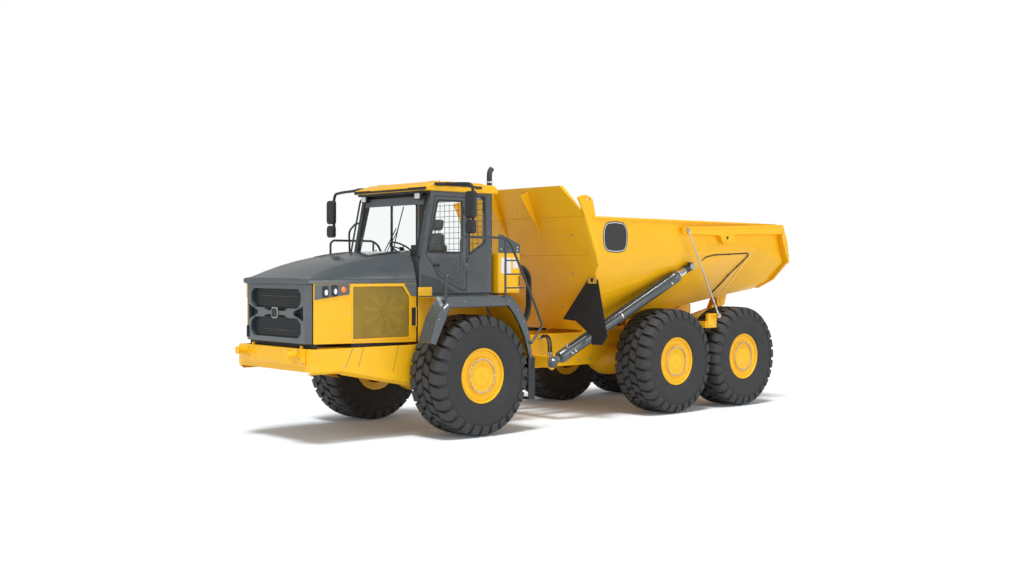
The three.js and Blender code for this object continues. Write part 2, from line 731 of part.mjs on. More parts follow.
const seatX = [-250, 250];
add(
  "operator_seat",
  "black",
  join(
    box([-180, 180], [-2500, -2200], [CAB_FLOOR_Z + CAB_WALL + GAP, 2560]),
    box(seatX, [-2640, -2130], [2550, 2700]),
    slabX([[-2230, 2650], [-2090, 2650], [-1990, 3400], [-2110, 3400]], seatX),
  ),
);
const dashTop = 2700;
const wheelHub = [0, -2800, dashTop + 190];
const wheelTilt = 32;
const column = bar([0, -2950, dashTop - 60], wheelHub, 30);
const wheelRing = new THREE.TorusGeometry(210, 16, 6, 20);
wheelRing.rotateX(THREE.MathUtils.degToRad(wheelTilt));
wheelRing.translate(...wheelHub);
const wheelSpoke = box([-205, 205], [-20, 20], [-12, 12]).rotate([wheelTilt, 0, 0]).translate(wheelHub);
add(
  "dashboard",
  "black",
  join(
    box([-600, 600], [cabFrontFoot + CAB_WALL + 5, -2900], [CAB_FLOOR_Z + CAB_WALL + GAP, dashTop]),
    column,
    wheelSpoke,
    solid(wheelRing),
  ),
);

// ---- fenders with deck, rail and boarding steps ----
const archTop = [
  [-3570, 1480],
  [-3440, 1860],
  [-3230, DECK_Z],
  [-2050, DECK_Z],
  [-1930, DECK_Z - 20],
  [-1765, 1960],
  [-1648, 1770],
  [-1565, 1540],
  [-1504, 1160],
];
const archInset = (depths) =>
  archTop.map(([y, z], i) => {
    const before = archTop[Math.max(i - 1, 0)];
    const after = archTop[Math.min(i + 1, archTop.length - 1)];
    const run = [after[0] - before[0], after[1] - before[1]];
    const length = Math.hypot(...run);
    return [y + (run[1] / length) * depths[i], z - (run[0] / length) * depths[i]];
  });
const archSlab = (depths, x) => slabX([...archTop, ...archInset(depths).reverse()], x);
const archSheet = archSlab(archTop.map(() => FENDER_SHEET), [HOOD_HALF + RUN, FENDER_HALF]);
const archBand = archSlab([110, 160, 160, 160, 160, 160, 150, 120, 60], [FENDER_HALF - 25, FENDER_HALF]);
// The front leg is narrower than the deck, so the side of the nose stays open to view.
const legInner = 1440;
const legOpening = box([HOOD_HALF - 100, legInner], [-3700, -3260], [1300, DECK_Z + 50]);
const fenderArch = join(cut(archSheet, legOpening), archBand);
// The rail stands outside the fender's edge, clear of the open door.
const railX = FENDER_HALF + RAIL_TUBE + RUN;
const railTube = [
  [railX, -3300, DECK_Z - 70],
  [railX, -3300, 2440],
  [railX, -3260, 2480],
  [railX, -3040, 2560],
  [railX, -3010, 2600],
  [railX, -3008, 3010],
  [railX, -2950, 3055],
  [railX, -2130, 3057],
  [railX, -2010, 2990],
  [railX, -1490, 2030],
  [railX, -1330, 1700],
  [railX, -1340, 1640],
  [railX, -1560, 1400],
];
const railMid = -2110;
const railBracket = (y, z) => box([FENDER_HALF - 60, railX], [y - 25, y + 25], [z - 12, z + 12]);
const deckInner = box([CAB_HALF + GAP, HOOD_HALF + 20], [-2900, -1700], [DECK_Z - 30, DECK_Z]);
const fenderProps = box([railOuter + GAP, HOOD_HALF + 40], [-2000, -1900], [1950, 2010]);
const propFoot = box([railOuter + GAP, railOuter + 60], [-2000, -1900], [1300, 2010]);
const stepX = [1300, FENDER_HALF - 10];
const stepY = [-1580, -1440];
const stepTop = 1170;
const stringer = (x) => box([x, x + 14], stepY, [500, stepTop]);
const treads = [505, 780, 1055].map((z) => box(stepX, stepY, [z, z + 25]));
const fender = join(
  fenderArch,
  stringer(stepX[0]),
  stringer(stepX[1] - 14),
  ...treads,
  deckInner,
  box([HOOD_HALF - 10, HOOD_HALF + 40], [-2000, -1900], [1960, DECK_Z - 10]),
  fenderProps,
  propFoot,
  tube(railTube, RAIL_TUBE, 6),
  bar([railX, railMid, DECK_Z - 30], [railX, railMid, 3045], RAIL_TUBE, 6),
  railBracket(-3300, DECK_Z - 60),
  railBracket(railMid, DECK_Z - 18),
  railBracket(-1545, 1400),
);
addPair("fender", "charcoal", fender);

// ---- cabinet behind the cab, stack, hoses ----
const cabinetY = [CAB_REAR_Y + 100, -1080];
const cabinetTop = 2830;
const cabinetPost = box(
  [railOuter - 110, railOuter - 20],
  [towerY[0] + 20, towerY[1] - 20],
  [hoseBracketTop + GAP, DECK_Z + 30],
);
const cabinet = join(
  box([-HOOD_HALF, HOOD_HALF], cabinetY, [DECK_Z + 20, cabinetTop]),
  slabX(
    [
      [cabinetY[0], cabinetTop],
      [cabinetY[1], cabinetTop],
      [cabinetY[1], 2980],
      [cabinetY[0] + 100, 3130],
      [cabinetY[0], 3140],
    ],
    [HOOD_HALF - 40, HOOD_HALF],
  ),
  both(cabinetPost),
);
add("rear_cabinet", "paint", cabinet);
add(
  "exhaust_stack",
  "steel",
  tube(
    [
      [STACK_X, STACK_Y, cabinetTop + GAP],
      [STACK_X, STACK_Y, STACK_TIP_Z - 130],
      [STACK_X, STACK_Y + 12, STACK_TIP_Z - 80],
      [STACK_X, STACK_Y + 50, STACK_TIP_Z - 32],
    ],
    STACK_RADIUS,
    12,
  ),
);
const hoseX = HOOD_HALF - 90;
const hoseEndZ = (RAIL_TOP - 10 + hoseBracketTop) / 2 + 25;
const hoseRoute = [
  [hoseX, cabinetY[1] + GAP, 2620],
  [hoseX, -980, 2620],
  [hoseX, -860, 2500],
  [hoseX, -810, 2300],
  [hoseX, -810, 2050],
  [hoseX, -860, 1850],
  [hoseX, -960, 1700],
  [hoseX, -1120, 1580],
  [hoseX, -1300, hoseEndZ],
  [hoseX, towerY[1] + GAP, hoseEndZ],
];
add("hose_loop", "rubber", tube(hoseRoute, HOSE_RADIUS, 10));

// ---- mirrors ----
const mirrorPost = MIRROR_X - 120;
const mirrorArm = tube(
  [
    [ROOF_HALF + GAP, -2960, 3860],
    [ROOF_HALF + 60, -2960, 3860],
    [ROOF_HALF + 200, -2920, 3870],
    [mirrorPost - 60, -2870, 3830],
    [mirrorPost, -2865, 3760],
    [mirrorPost, -2865, 3120],
  ],
  MIRROR_TUBE,
  8,
);
const mirrorHead = join(
  box([MIRROR_X - 230, MIRROR_X], [-2960, -2880], [3340, 3740]),
  box([MIRROR_X - 220, MIRROR_X - 10], [-2950, -2880], [3110, 3310]),
);
addPair("mirror", "black", join(mirrorArm, mirrorHead));

// ---- hitch yoke ----
const hubTop = lugTop - GAP;
const hubBottom = lugBottom + GAP;
const trunnionEnd = HITCH_Y + 900;
const eyePlate = (z) =>
  slabZ(
    [
      [0, HITCH_Y - 40],
      [STEER_EYE[0] + 30, STEER_EYE[1] - 90],
      [STEER_EYE[0] + 80, STEER_EYE[1]],
      [STEER_EYE[0] + 30, STEER_EYE[1] + 60],
      [0, HITCH_Y + 160],
    ],
    z,
  );
const eyeGap = 50; // half the height of the steering rods' eyes, with running room
const hubRoom = box([-200, 200], [HITCH_Y - 200, HITCH_Y + 200], [hubBottom - 120, hubTop + 120]);
const yoke = join(
  bar([0, HITCH_Y, hubBottom], [0, HITCH_Y, hubTop], 150, 24),
  steerPin(PIN_RADIUS).intersect(hubRoom),
  bar([0, HITCH_Y, HITCH_Z], [0, trunnionEnd, HITCH_Z], TRUNNION_RADIUS, 20),
  bar([0, HITCH_Y + 240, HITCH_Z], [0, HITCH_Y + 330 - GAP, HITCH_Z], 200, 20),
  both(eyePlate([STEER_EYE[2] + eyeGap, STEER_EYE[2] + eyeGap + 25])),
  both(eyePlate([STEER_EYE[2] - eyeGap - 25, STEER_EYE[2] - eyeGap])),
);
add("articulation_yoke", "paint", yoke);

// ---- cylinders: a barrel bored for its rod, each with an eye at its end ----
function cylinder(base, eye, barrelRadius, rodRadius, barrelStart, barrelEnd, rodTail) {
  const length = distance(base, eye);
  const at = (along) => between(base, eye, along / length);
  const barrel = cut(
    bar(at(barrelStart), at(barrelEnd), barrelRadius),
    bar(at(rodTail - 500), at(barrelEnd + 10), rodRadius + GAP),
  );
  const rodNeck = bar(at(length - 110), at(length), rodRadius * 0.5);
  const rod = join(bar(at(rodTail), at(length - 100), rodRadius), rodNeck);
  return { barrel, rod, neck: bar(at(0), at(barrelStart + 5), rodRadius - 10) };
}

const steer = cylinder(STEER_BASE, STEER_EYE, STEER_RADIUS, STEER_ROD_RADIUS, 90, 1000, 600);
const upright = (point, half, radius) =>
  bar([point[0], point[1], point[2] - half], [point[0], point[1], point[2] + half], radius, 12);
const steerBaseEye = bar(
  [STEER_BASE[0], STEER_BASE[1], steerPlateZ[0] + GAP],
  [STEER_BASE[0], STEER_BASE[1], steerPlateZ[1] - GAP],
  48,
  12,
);
addPair("steering_barrel", "charcoal", join(steer.barrel, steer.neck, steerBaseEye));
addPair("steering_rod", "steel", join(steer.rod, upright(STEER_EYE, eyeGap - RUN, 60)));

// The lift cylinder swings about the normal of the plane through its base and both ends of its eye's path.
const tipped = ([x, y, z], degrees) => {
  const angle = THREE.MathUtils.degToRad(degrees);
  const [dy, dz] = [y - BED_PIN_Y, z - BED_PIN_Z];
  return [
    x,
    BED_PIN_Y + dy * Math.cos(angle) + dz * Math.sin(angle),
    BED_PIN_Z - dy * Math.sin(angle) + dz * Math.cos(angle),
  ];
};
const vector = (from, to) => new THREE.Vector3(...to).sub(new THREE.Vector3(...from));
const liftAxis = vector(LIFT_BASE, LIFT_EYE)
  .cross(vector(LIFT_BASE, tipped(LIFT_EYE, BED_TIP)))
  .normalize();
if (liftAxis.x < 0) liftAxis.negate();
const alongLift = (by) => LIFT_BASE.map((v, i) => v + liftAxis.getComponent(i) * by);
const liftLength = distance(LIFT_BASE, LIFT_EYE);
const liftEyeHalf = LIFT_ROD_RADIUS + 2;
const rodEyeHalf = 40;
const liftRodEyeRadius = 74;
const bedClosesIn = 9.5; // along the cylinder, for 1 of room between it and the bed's wall
const liftEnd = liftLength - bedClosesIn * (LIFT_RADIUS - liftRodEyeRadius);
const lift = cylinder(LIFT_BASE, LIFT_EYE, LIFT_RADIUS, LIFT_ROD_RADIUS, 150, liftEnd, 700);
const liftBaseEye = bar(alongLift(-liftEyeHalf), alongLift(liftEyeHalf), 85);
const liftRodEye = bar(
  [LIFT_EYE[0] - rodEyeHalf, LIFT_EYE[1], LIFT_EYE[2]],
  [LIFT_EYE[0] + rodEyeHalf, LIFT_EYE[1], LIFT_EYE[2]],
  liftRodEyeRadius,
);
addPair("lift_barrel", "charcoal", join(lift.barrel, lift.neck, liftBaseEye));
addPair("lift_rod", "steel", join(lift.rod, liftRodEye));

// ---- dump bed ----
const FLOOR_SLOPE = 0.1458;
const floorZ = (y) => 1500 + (y - 595) * FLOOR_SLOPE;
const bendZ = (y) => 2780 + (y - 1110) * 0.0576;
const stations = [-700, 4470, 5420];

function bedRing(y, wall) {
  const chute = y > stations[1] ? 1 : 0;
  const floor = floorZ(y) + wall;
  const bend = (chute ? 2700 : bendZ(y)) + wall * 0.3;
  const half = BED_HALF - wall;
  const flat = chute ? 900 : 820;
  const knee = chute ? [1300, 2390 + wall] : [1150, 0];
  if (!chute) knee[1] = floor + ((knee[0] - flat) / (half - flat)) * (bend - floor);
  const top = 4200 + wall;
  const right = [
    [flat, floor],
    [knee[0], knee[1]],
    [half, bend],
    [half, top],
  ];
  const left = right.map(([x, z]) => [-x, z]).reverse();
  return [...left, ...right].map(([x, z]) => [x, y, z]);
}

const bedSide = [
  [640, 1400],
  [-230, BED_TOP_Z],
  [-450, 3970],
  [-350, 3970],
  [-50, BED_TOP_Z],
  [5110, BED_TOP_Z],
  [5330, 2740],
  [5350, 2150],
  [5350, 1400],
];
const bedRoom = [
  [640 + 50, 1400],
  [-230 + 45, BED_TOP_Z],
  [-450 + 42, 4100],
  [6000, 4100],
  [6000, 1400],
];
const headTaper = [
  [-BED_HALF, 1000],
  [BED_HALF, 1000],
  [BED_HALF, BED_TOP_Z],
  [1240, 3970],
  [-1240, 3970],
  [-BED_HALF, BED_TOP_Z],
];
const outerSkin = lofted(stations.map((y) => bedRing(y, 0)));
const innerSkin = lofted(stations.map((y) => bedRing(y, BED_WALL)));
const sideCut = slabX(bedSide, [-BED_HALF - 10, BED_HALF + 10]);
const headCut = slabY(headTaper, [stations[0], stations[2]]);
const bedBody = cut(
  outerSkin.intersect(sideCut).intersect(headCut),
  innerSkin.intersect(slabX(bedRoom, [-BED_HALF, BED_HALF])),
);
const lugX = [REAR_RAIL_X + REAR_RAIL_WIDTH + GAP, REAR_RAIL_X + REAR_RAIL_WIDTH + 90];
const bedLug = slabX(
  [
    [4600, 2100],
    [4660, 1860],
    [4880, 1860],
    [4960, 2115],
  ],
  lugX,
);
const bedPin = (radius, x) => bar([x[0], BED_PIN_Y, BED_PIN_Z], [x[1], BED_PIN_Y, BED_PIN_Z], radius);
const flapY = [185, 205];
const flapTop = 2400;
const flapHanger = box([1330, 1480], [flapY[1] + GAP, flapY[1] + 65], [flapTop - 70, flapTop]);
const gateBoss = bar(
  [BED_HALF - 10, GATE_PIVOT_Y, GATE_PIVOT_Z],
  [GATE_ARM_X - GAP, GATE_PIVOT_Y, GATE_PIVOT_Z],
  110,
);
const liftBossEnd = LIFT_EYE[0] - rodEyeHalf - RUN;
const liftBoss = bar([1440, LIFT_EYE[1], LIFT_EYE[2]], [liftBossEnd, LIFT_EYE[1], LIFT_EYE[2]], 48);
const bed = join(bedBody, both(bedLug), both(flapHanger), both(gateBoss), both(liftBoss));
add("dump_bed", "paint", cut(bed, both(bedPin(52, [lugX[0] - 10, lugX[1] + 10]))));

const flapOutline = [
  [1290, flapTop],
  [1520, flapTop],
  [1750, 1440],
  [1620, 1290],
  [1380, 1290],
  [1380, 1440],
  [1000, 1680],
  [680, 1700],
];
addPair("mud_flap", "rubber", slabY(flapOutline, flapY));

// ---- tailgate and its cables ----
const gateArm = [
  [2200, 3215],
  [2200, 3335],
  [5145, 3450],
  [5200, 3430],
  [5240, 3270],
  [3650, 3235],
  [3520, 3060],
  [3330, 3060],
  [3230, 3205],
];
const gatePlate = [
  [5142, 3450],
  [5358, 2740],
  [5364, GATE_FOOT_Z],
  [HALF_LENGTH, GATE_FOOT_Z],
  [HALF_LENGTH, 2740],
  [5190, 3450],
];
const armX = [GATE_ARM_X, GATE_ARM_X + GATE_ARM];
// Lower corners of the plate, cut to follow the mouth of the bed.
const gateCorner = [
  [1020, GATE_FOOT_Z - 10],
  [1020, GATE_FOOT_Z],
  [1380, 2380],
  [1700, 2700],
  [1900, 2740],
  [1900, GATE_FOOT_Z - 10],
];
const gateSheet = slabX(gatePlate, [-armX[1], armX[1]]);
const gateFace = cut(gateSheet, both(slabY(gateCorner, [5300, HALF_LENGTH + 50])));
add("tailgate", "paint", join(both(slabX(gateArm, armX)), gateFace));
const cableEyeRadius = 42;
const cableEye = ([, y, z]) => bar([armX[1] + GAP, y, z], [CABLE_X + CABLE_RADIUS, y, z], cableEyeRadius);
const cable = bar(ANCHOR, CABLE_TOP, CABLE_RADIUS, 8);
addPair("tailgate_cable", "steel", join(cable, cableEye(ANCHOR), cableEye(CABLE_TOP)));

// ---- rear frame ----
const rearRail = [
  [-380, 860],
  [1250, 860],
  [1600, 1200],
  [4400, 1200],
  [BED_PIN_Y + 130, 1500],
  [BED_PIN_Y + 130, 1900],
  [BED_PIN_Y + 60, 2040],
  [BED_PIN_Y - 60, 2040],
  [BED_PIN_Y - 200, 1800],
  [3000, 1470],
  [-380, 1430],
];
const restPad = [
  [900, 1400],
  [1150, 1400],
  [1150, floorZ(1150) - GAP],
  [900, floorZ(900) - GAP],
];
const rearRailX = [REAR_RAIL_X, REAR_RAIL_X + REAR_RAIL_WIDTH];
const cross = (y, z) => box([-REAR_RAIL_X - 10, REAR_RAIL_X + 10], y, z);
const trunnionTube = bar([0, HITCH_Y + 330, HITCH_Z], [0, -200, HITCH_Z], 220, 20);
const frontWall = cross([-380, -300], [860, 1430]);
const pinTop = alongLift(-liftEyeHalf - GAP);
const liftArm = join(
  box([rearRailX[0], LIFT_BASE[0] - 110], [LIFT_BASE[1] - 20, LIFT_BASE[1] + 150], [900, 1090]),
  bar(alongLift(-160), pinTop, 62),
);
const cableArm = join(
  box([rearRailX[0], 1640], [2930, 3160], [1500, 1610]),
  box([1600, 1660], [2990, 3230], [1500, 1760]),
  bar([1650, ANCHOR[1], ANCHOR[2]], [armX[1], ANCHOR[1], ANCHOR[2]], cableEyeRadius),
  box([rearRailX[0], rearRailX[1]], [2930, 3160], [1400, 1560]),
);
const bogieShaft = bar([-BEAM_X - 250, bogieY, bogieZ], [BEAM_X + 250, bogieY, bogieZ], BOGIE_PIN_RADIUS);
const bogieCap = bar([BEAM_X + BEAM_WIDTH + GAP, bogieY, bogieZ], [BEAM_X + 250, bogieY, bogieZ], 130);
const rearFrame = join(
  both(slabX(rearRail, rearRailX)),
  both(slabX(restPad, rearRailX)),
  frontWall,
  cross([900, 1020], [1100, 1300]),
  cross([bogieY - 60, bogieY + 60], [1210, 1400]),
  cross([4500, 4600], [1450, 1650]),
  trunnionTube,
  both(liftArm),
  both(cableArm),
  bogieShaft,
  both(bogieCap),
  both(bedPin(50, [REAR_RAIL_X + 10, lugX[1] + 12])),
);
const trunnionBore = bar([0, HITCH_Y, HITCH_Z], [0, trunnionEnd + 20, HITCH_Z], TRUNNION_RADIUS + 3, 20);
add("rear_frame", "paint", cut(rearFrame, trunnionBore));

export default model;
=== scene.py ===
import math
from math import cos, pi, radians, sin

import bmesh
import bpy
from mathutils import Matrix, Vector
from mathutils.geometry import tessellate_polygon


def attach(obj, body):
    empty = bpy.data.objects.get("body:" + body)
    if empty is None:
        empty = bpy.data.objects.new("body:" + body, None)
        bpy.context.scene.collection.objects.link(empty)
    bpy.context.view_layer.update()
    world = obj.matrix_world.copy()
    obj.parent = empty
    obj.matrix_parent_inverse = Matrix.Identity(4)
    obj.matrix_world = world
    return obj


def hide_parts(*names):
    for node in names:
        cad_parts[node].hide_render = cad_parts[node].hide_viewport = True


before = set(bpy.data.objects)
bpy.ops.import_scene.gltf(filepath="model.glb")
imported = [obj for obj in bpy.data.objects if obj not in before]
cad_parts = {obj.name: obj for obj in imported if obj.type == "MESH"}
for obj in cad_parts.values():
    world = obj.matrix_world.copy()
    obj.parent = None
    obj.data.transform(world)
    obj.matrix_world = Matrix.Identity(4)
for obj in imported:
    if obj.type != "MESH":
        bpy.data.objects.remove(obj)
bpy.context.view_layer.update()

scene = bpy.context.scene
TAU = 2 * pi
FRONT = "front_unit"
ACROSS = Vector((1, 0, 0))

# ---------------------------------------------------------------- camera, light, floor
CAMERA_AT = (15.7012, -14.6332, 2.5781)
AZIMUTH, PITCH, ROLL = radians(47.784), radians(0.914), radians(0.159)
look = Vector((-sin(AZIMUTH) * cos(PITCH), cos(AZIMUTH) * cos(PITCH), -sin(PITCH)))
level = Vector((cos(AZIMUTH), sin(AZIMUTH), 0))
rise = level.cross(look)
camera = bpy.data.objects.new("camera", bpy.data.cameras.new("camera"))
camera.data.lens = 42.49
camera.data.sensor_width = 36
camera.data.clip_end = 400
turn = Matrix((cos(ROLL) * level + sin(ROLL) * rise, -sin(ROLL) * level + cos(ROLL) * rise, -look))
camera.matrix_world = Matrix.Translation(CAMERA_AT) @ turn.transposed().to_4x4()
scene.collection.objects.link(camera)
scene.camera = camera
scene.view_settings.view_transform = "Standard"


def nodes_of(owner):
    """The emptied node tree of a world or material."""
    owner.use_nodes = True
    owner.node_tree.nodes.clear()
    return owner.node_tree


def add(tree, kind, values=()):
    """A shader node with its input values."""
    made = tree.nodes.new("ShaderNode" + kind)
    for name, value in dict(values).items():
        made.inputs[name].default_value = value
    return made


def link(tree, a, out, b, into):
    tree.links.new(a.outputs[out], b.inputs[into])


def seen_directly(tree):
    """1 where the ray comes from the camera or through glass."""
    path = add(tree, "LightPath")
    first = add(tree, "Math")
    first.operation = "MAXIMUM"
    link(tree, path, "Is Camera Ray", first, 0)
    link(tree, path, "Is Transmission Ray", first, 1)
    return first


WHITE = (1, 1, 1, 1)
world = bpy.data.worlds.new("studio")
scene.world = world
tree = nodes_of(world)
direct = seen_directly(tree)
ambient = add(tree, "Background", {"Color": WHITE, "Strength": 0.38})
backdrop = add(tree, "Background", {"Color": WHITE})
mix = add(tree, "MixShader")
link(tree, direct, 0, mix, 0)
link(tree, ambient, 0, mix, 1)
link(tree, backdrop, 0, mix, 2)
link(tree, mix, 0, add(tree, "OutputWorld"), 0)

for name, towards, strength, angle in (("key_light", (-0.2, 0.26, -0.95), 2.6, 14),
                                       ("side_light", (-0.95, -0.3, -0.2), 1.0, 40),
                                       ("front_fill", (-0.15, 0.98, -0.04), 0.75, 50)):
    lamp = bpy.data.objects.new(name, bpy.data.lights.new(name, "SUN"))
    lamp.data.energy = strength
    lamp.data.angle = radians(angle)
    lamp.matrix_world = Vector(towards).to_track_quat("-Z", "Y").to_matrix().to_4x4()
    scene.collection.objects.link(lamp)

SPREAD = 90
floor_mesh = bpy.data.meshes.new("floor")
corners = [(-SPREAD, -SPREAD, 0), (SPREAD, -SPREAD, 0), (SPREAD, SPREAD, 0), (-SPREAD, SPREAD, 0)]
floor_mesh.from_pydata(corners, [], [(0, 1, 2, 3)])
floor = bpy.data.objects.new("floor", floor_mesh)
floor.location.z = -0.002
scene.collection.objects.link(floor)
pale = bpy.data.materials.new("floor_pale")
tree = nodes_of(pale)
lift = add(tree, "Math", {1: 0.04})
lift.operation = "MULTIPLY"
link(tree, seen_directly(tree), 0, lift, 0)
glow = add(tree, "Emission", {"Color": WHITE})
link(tree, lift, 0, glow, "Strength")
both = add(tree, "AddShader")
link(tree, add(tree, "BsdfDiffuse", {"Color": (0.83, 0.87, 0.91, 1)}), 0, both, 0)
link(tree, glow, 0, both, 1)
link(tree, both, 0, add(tree, "OutputMaterial"), 0)
floor_mesh.materials.append(pale)


# ---------------------------------------------------------------- materials
def material(name, colour, rough, metal=0.0, coat=0.0, shift=0.08, scale=3.0, grain=90.0, bump=0.02,
             wear=0.0, depth=0.002, shine=0.5):
    """A surface with uneven colour, uneven roughness, a fine bump and lighter worn edges."""
    made = bpy.data.materials.new(name)
    tree = nodes_of(made)
    place = add(tree, "TexCoord")
    shader = add(tree, "BsdfPrincipled", {"Metallic": metal, "Coat Weight": coat, "Coat Roughness": 0.08,
                                          "Specular IOR Level": shine})
    cloud = add(tree, "TexNoise", {"Scale": scale, "Detail": 6})
    link(tree, place, "Object", cloud, "Vector")
    ramp = add(tree, "ValToRGB")
    low, high = ramp.color_ramp.elements
    low.position, high.position = 0.3, 0.7
    low.color = [c * (1 - shift) for c in colour] + [1]
    high.color = [min(1, c * (1 + shift)) for c in colour] + [1]
    link(tree, cloud, "Fac", ramp, "Fac")
    if wear:
        edge = add(tree, "MapRange", {"From Min": 0.53, "From Max": 0.62, "To Max": wear})
        link(tree, add(tree, "NewGeometry"), "Pointiness", edge, "Value")
        worn = add(tree, "Mix")
        worn.data_type = "RGBA"
        link(tree, edge, "Result", worn, 0)
        link(tree, ramp, "Color", worn, 6)
        worn.inputs[7].default_value = [min(1, c * 1.5 + 0.05) for c in colour] + [1]
        link(tree, worn, 2, shader, "Base Color")
    else:
        link(tree, ramp, "Color", shader, "Base Color")
    polish = add(tree, "MapRange", {"To Min": rough * 0.8, "To Max": min(1, rough * 1.25)})
    link(tree, cloud, "Fac", polish, "Value")
    link(tree, polish, "Result", shader, "Roughness")
    fine = add(tree, "TexNoise", {"Scale": grain, "Detail": 3})
    link(tree, place, "Object", fine, "Vector")
    relief = add(tree, "Bump", {"Strength": bump, "Distance": depth})
    link(tree, fine, "Fac", relief, "Height")
    link(tree, relief, "Normal", shader, "Normal")
    link(tree, shader, 0, add(tree, "OutputMaterial"), 0)
    return made


def glass(name, colour, rough=0.02):
    """Clear glass with an uneven haze."""
    made = bpy.data.materials.new(name)
    tree = nodes_of(made)
    shader = add(tree, "BsdfPrincipled", {"Base Color": colour + (1,), "Transmission Weight": 1.0,
                                          "IOR": 1.12})
    film = add(tree, "TexNoise", {"Scale": 4})
    link(tree, add(tree, "TexCoord"), "Object", film, "Vector")
    haze = add(tree, "MapRange", {"To Min": rough * 0.5, "To Max": rough * 1.5})
    link(tree, film, "Fac", haze, "Value")
    link(tree, haze, "Result", shader, "Roughness")
    link(tree, shader, 0, add(tree, "OutputMaterial"), 0)
    return made


YELLOW = material("yellow_enamel", (0.95, 0.49, 0.006), 0.36, coat=0.12, shift=0.03, grain=60, bump=0.05,
                  wear=0.25, shine=0.3)
CHARCOAL = material("charcoal_enamel", (0.062, 0.074, 0.081), 0.26, coat=0.6, shift=0.07, grain=70,
                    bump=0.05, wear=0.2)
DARK = material("dark_enamel", (0.035, 0.042, 0.046), 0.4, coat=0.1, shift=0.1, grain=70, bump=0.05,
                wear=0.15)
PLASTIC = material("black_plastic", (0.016, 0.016, 0.017), 0.48, shift=0.15, grain=420, bump=0.25, wear=0.1)
RUBBER = material("tyre_rubber", (0.028, 0.028, 0.029), 0.72, shift=0.22, scale=5, grain=150, bump=0.3,
                  wear=0.25)
FLAP = material("flap_rubber", (0.012, 0.012, 0.012), 0.7, shift=0.2, grain=120, bump=0.25)
HOSE = material("hose_rubber", (0.014, 0.014, 0.015), 0.5, shift=0.2, grain=300, bump=0.3)
STEEL = material("machined_steel", (0.62, 0.63, 0.64), 0.28, metal=1, shift=0.08, grain=200, bump=0.08)
CHROME = material("chromed_rod", (0.75, 0.76, 0.78), 0.12, metal=1, shift=0.03, grain=300, bump=0.02)
ZINC = material("zinc_bolt", (0.58, 0.57, 0.53), 0.4, metal=0.85, shift=0.15, grain=260, bump=0.15)
SOOT = material("exhaust_coat", (0.05, 0.052, 0.055), 0.55, metal=0.3, shift=0.25, scale=8, grain=160,
                bump=0.2)
CORE = material("cooler_core", (0.03, 0.028, 0.022), 0.6, shift=0.3, scale=9, grain=120, bump=0.4)
BRASS = material("passivated_parts", (0.35, 0.25, 0.06), 0.45, metal=0.6, shift=0.3, scale=9, grain=120,
                 bump=0.3)
WIRE = material("screen_wire", (0.43, 0.275, 0.028), 0.5, metal=0.1, shift=0.12, grain=200, bump=0.1)
AMBER = material("amber_lens", (0.85, 0.2, 0.02), 0.2, coat=0.6, shift=0.08, grain=40, bump=0.05)
RED = material("red_lens", (0.55, 0.015, 0.01), 0.22, coat=0.6, shift=0.08, grain=40, bump=0.05)
LENS = material("lamp_lens", (0.78, 0.8, 0.82), 0.15, metal=0.3, coat=0.8, shift=0.1, scale=40, grain=90,
                bump=0.2)
MIRROR = material("mirror_glass", (0.8, 0.82, 0.84), 0.04, metal=1, shift=0.01, grain=30, bump=0.0)
LABEL = material("blank_label", (0.78, 0.78, 0.76), 0.5, shift=0.03, grain=80, bump=0.05)
FABRIC = material("seat_fabric", (0.16, 0.165, 0.17), 0.85, shift=0.2, scale=30, grain=520, bump=0.6,
                  depth=0.003)
TRIM = material("cab_trim", (0.15, 0.155, 0.16), 0.6, shift=0.1, grain=300, bump=0.25)
GLASS = glass("cab_glass", (0.96, 0.98, 0.98))


# ---------------------------------------------------------------- shape helpers
# Solids are collected in one mesh until piece() makes an object of them. Code inside a loop over
# sides() is written for the left side, at positive X, and comes out mirrored for the right.
SIDES = (("left", 1), ("right", -1))
CORNER_SHARE = 0.45  # how much of a side one rounded corner may take
BEVEL_FROM = 34  # degrees between faces from which an edge is rounded
SAME_POINT = 2e-5
SAME_PLANE = 0.8  # degrees
work = bmesh.new()
mirror = 1


def sides():
    """Left and right in turn."""
    global mirror
    for hand, mirror in SIDES:
        yield hand
    mirror = 1


def placed(point):
    return Vector((mirror * point[0], point[1], point[2]))


def join(rings, closed=False):
    """Rings with the same number of points, joined in turn and capped unless closed."""
    rows = [[work.verts.new(p) for p in ring] for ring in rings]
    count = len(rows[0])
    for r in range(len(rows) if closed else len(rows) - 1):
        a, b = rows[r], rows[(r + 1) % len(rows)]
        for i in range(count):
            j = (i + 1) % count
            work.faces.new((a[i], a[j], b[j], b[i]))
    if not closed:
        work.faces.new(list(reversed(rows[0])))
        work.faces.new(rows[-1])


def skin(rings, closed=False):
    join([[placed(p) for p in ring] for ring in rings], closed)


def raised(axis, outline, at):
    """The points of an outline, given in the two other axes, at one height along an axis."""
    a, b = [k for k in range(3) if k != axis]
    ring = []
    for p in outline:
        v = [0.0, 0.0, 0.0]
        v[a], v[b], v[axis] = p[0], p[1], at
        ring.append(v)
    return ring


def slab(axis, outline, low, high):
    """An outline extruded along axis 0, 1 or 2."""
    skin([raised(axis, outline, at) for at in (low, high)])


def box(x, y, z):
    slab(2, rectangle(x[0], y[0], x[1], y[1]), z[0], z[1])


